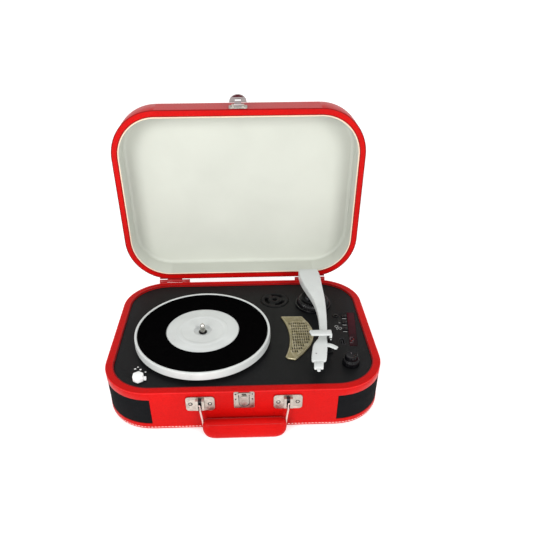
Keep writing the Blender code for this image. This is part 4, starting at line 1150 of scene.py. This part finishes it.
def finish_nodes():
    """Gives each CAD node that is still shown its procedural material."""
    for node, shown in frame["nodes"].items():
        if not shown.hide_render:
            shown.data.materials.clear()
            shown.data.materials.append(LOOKS[SLOT_OF[node]])


PULLEY = [
    (0, 69.3), (4.5, 69.3), (4.8, 69), (4.8, 68.6), (4, 68.3), (4, 64.7), (4.8, 64.4), (4.8, 63.9),
    (4.5, 63.7), (1.2, 63.7), (1.2, 50.4), (0, 50.4),
]
BEARING = [
    (0, 50), (3.9, 50), (3.9, 65.4), (6.8, 65.4), (7.6, 64.9), (8, 64.2), (8, 48.4), (7.6, 48), (0, 48),
]
SOCKET_FLANGE = [(5.6, 1.6), (6, 1.2), (6, 0.3), (4, 0.3), (4, -12), (0, -12)]
POWER_SOCKET = [(0, -1), (0.8, -1.2), (0.8, -10), (2.8, -10), (2.8, 1.2), (3.1, 1.6)]
LINE_SOCKET = [(0, -6), (1.7, -6), (1.7, 7.6), (2, 8), (3.7, 8), (4, 7.7), (4, 1.6)]


def lathe_rest():
    """Round inner and rear pieces, turned with more steps than the CAD has."""
    for node, profile in (("motor_pulley", PULLEY), ("platter_bearing", BEARING)):
        turned(node, profile, below(node), 56)
    for node in ("power_inlet", "line_out_left", "line_out_right"):
        at = middle(node)
        profile = (POWER_SOCKET if node == "power_inlet" else LINE_SOCKET) + SOCKET_FLANGE
        stand_in(node, moved(spun(profile, 40), Vector((at.x, HALF_Y, at.z)), FACING["back"]))


# ---- stage


PHOTO_PIXELS, FOCAL_PIXELS, SENSOR = 533, 529.85, 36


def make_camera():
    """The camera that was fitted to the photo."""
    place = Vector((0.00492, -0.60105, 0.49719))
    pitch, yaw, roll = math.radians(34.827), math.radians(1.531), math.radians(-0.398)
    ahead = Vector((math.sin(yaw) * math.cos(pitch), math.cos(yaw) * math.cos(pitch), -math.sin(pitch)))
    right = ahead.cross(Vector((0, 0, 1))).normalized()
    up = right.cross(ahead)
    side = right * math.cos(roll) + up * math.sin(roll)
    over = -right * math.sin(roll) + up * math.cos(roll)
    turn = Matrix((side, over, -ahead)).transposed()
    data = bpy.data.cameras.new("camera")
    data.sensor_width = SENSOR
    data.lens = FOCAL_PIXELS / PHOTO_PIXELS * SENSOR
    data.shift_x, data.shift_y = 0.016, 0.0951
    data.clip_start = 0.02
    camera = placed("camera", data)
    camera.matrix_world = Matrix.Translation(place) @ turn.to_4x4()
    SCENE.camera = camera


def area_light(name, place, aim, size, power):
    """A soft light at a place, turned towards another."""
    data = bpy.data.lights.new(name, "AREA")
    data.shape = "RECTANGLE"
    data.size, data.size_y = size
    data.energy = power
    place, aim = Vector(place), Vector(aim)
    turn = (aim - place).to_track_quat("-Z", "Y").to_matrix()
    placed(name, data).matrix_world = Matrix.Translation(place) @ turn.to_4x4()


def make_stage():
    """A pale floor that glows up to white, a white sky and three soft lights."""
    bm = bmesh.new()
    bmesh.ops.create_grid(bm, x_segments=40, y_segments=40, size=30)
    mesh = bpy.data.meshes.new("floor")
    bm.to_mesh(mesh)
    bm.free()
    floor = placed("floor", mesh)
    floor.location.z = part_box("foot_front_left")[0].z
    g = Graph("pale_floor", (0.9, 0.9, 0.9), 0.75, Specular_IOR_Level=0.1, Emission_Strength=0.38)
    g.set("Emission Color", (1, 1, 1, 1))
    speck = g.noise(40, 3)
    g.colour(g.mix(g.remap(speck, 0.3, 0.7), (0.89, 0.89, 0.89), (0.91, 0.91, 0.91)))
    mesh.materials.append(g.material)
    world = bpy.data.worlds.new("studio")
    world.use_nodes = True
    sky = world.node_tree.nodes["Background"]
    sky.inputs["Color"].default_value = (1, 1, 1, 1)
    sky.inputs["Strength"].default_value = 0.8
    SCENE.world = world
    area_light("left_softbox", (-0.8, -1.25, 0.78), (0, 0, 0.08), (0.6, 0.8), 14)
    area_light("right_softbox", (0.85, -1.2, 0.78), (0, 0, 0.08), (0.6, 0.8), 12)
    area_light("top_softbox", (0, 0.3, 1.7), (0, 0, 0.1), (1.2, 0.8), 1)
    SCENE.view_settings.view_transform = "Standard"
    SCENE.view_settings.look = "None"


case_pieces()
lid_pieces()
turntable_pieces()
adapter_piece()
arm_pieces()
control_pieces()
grille_pieces()
latch_pieces()
bracket_pieces()
hinge_pieces()
handle_pieces()
lathe_rest()
finish_nodes()
make_camera()
make_stage()
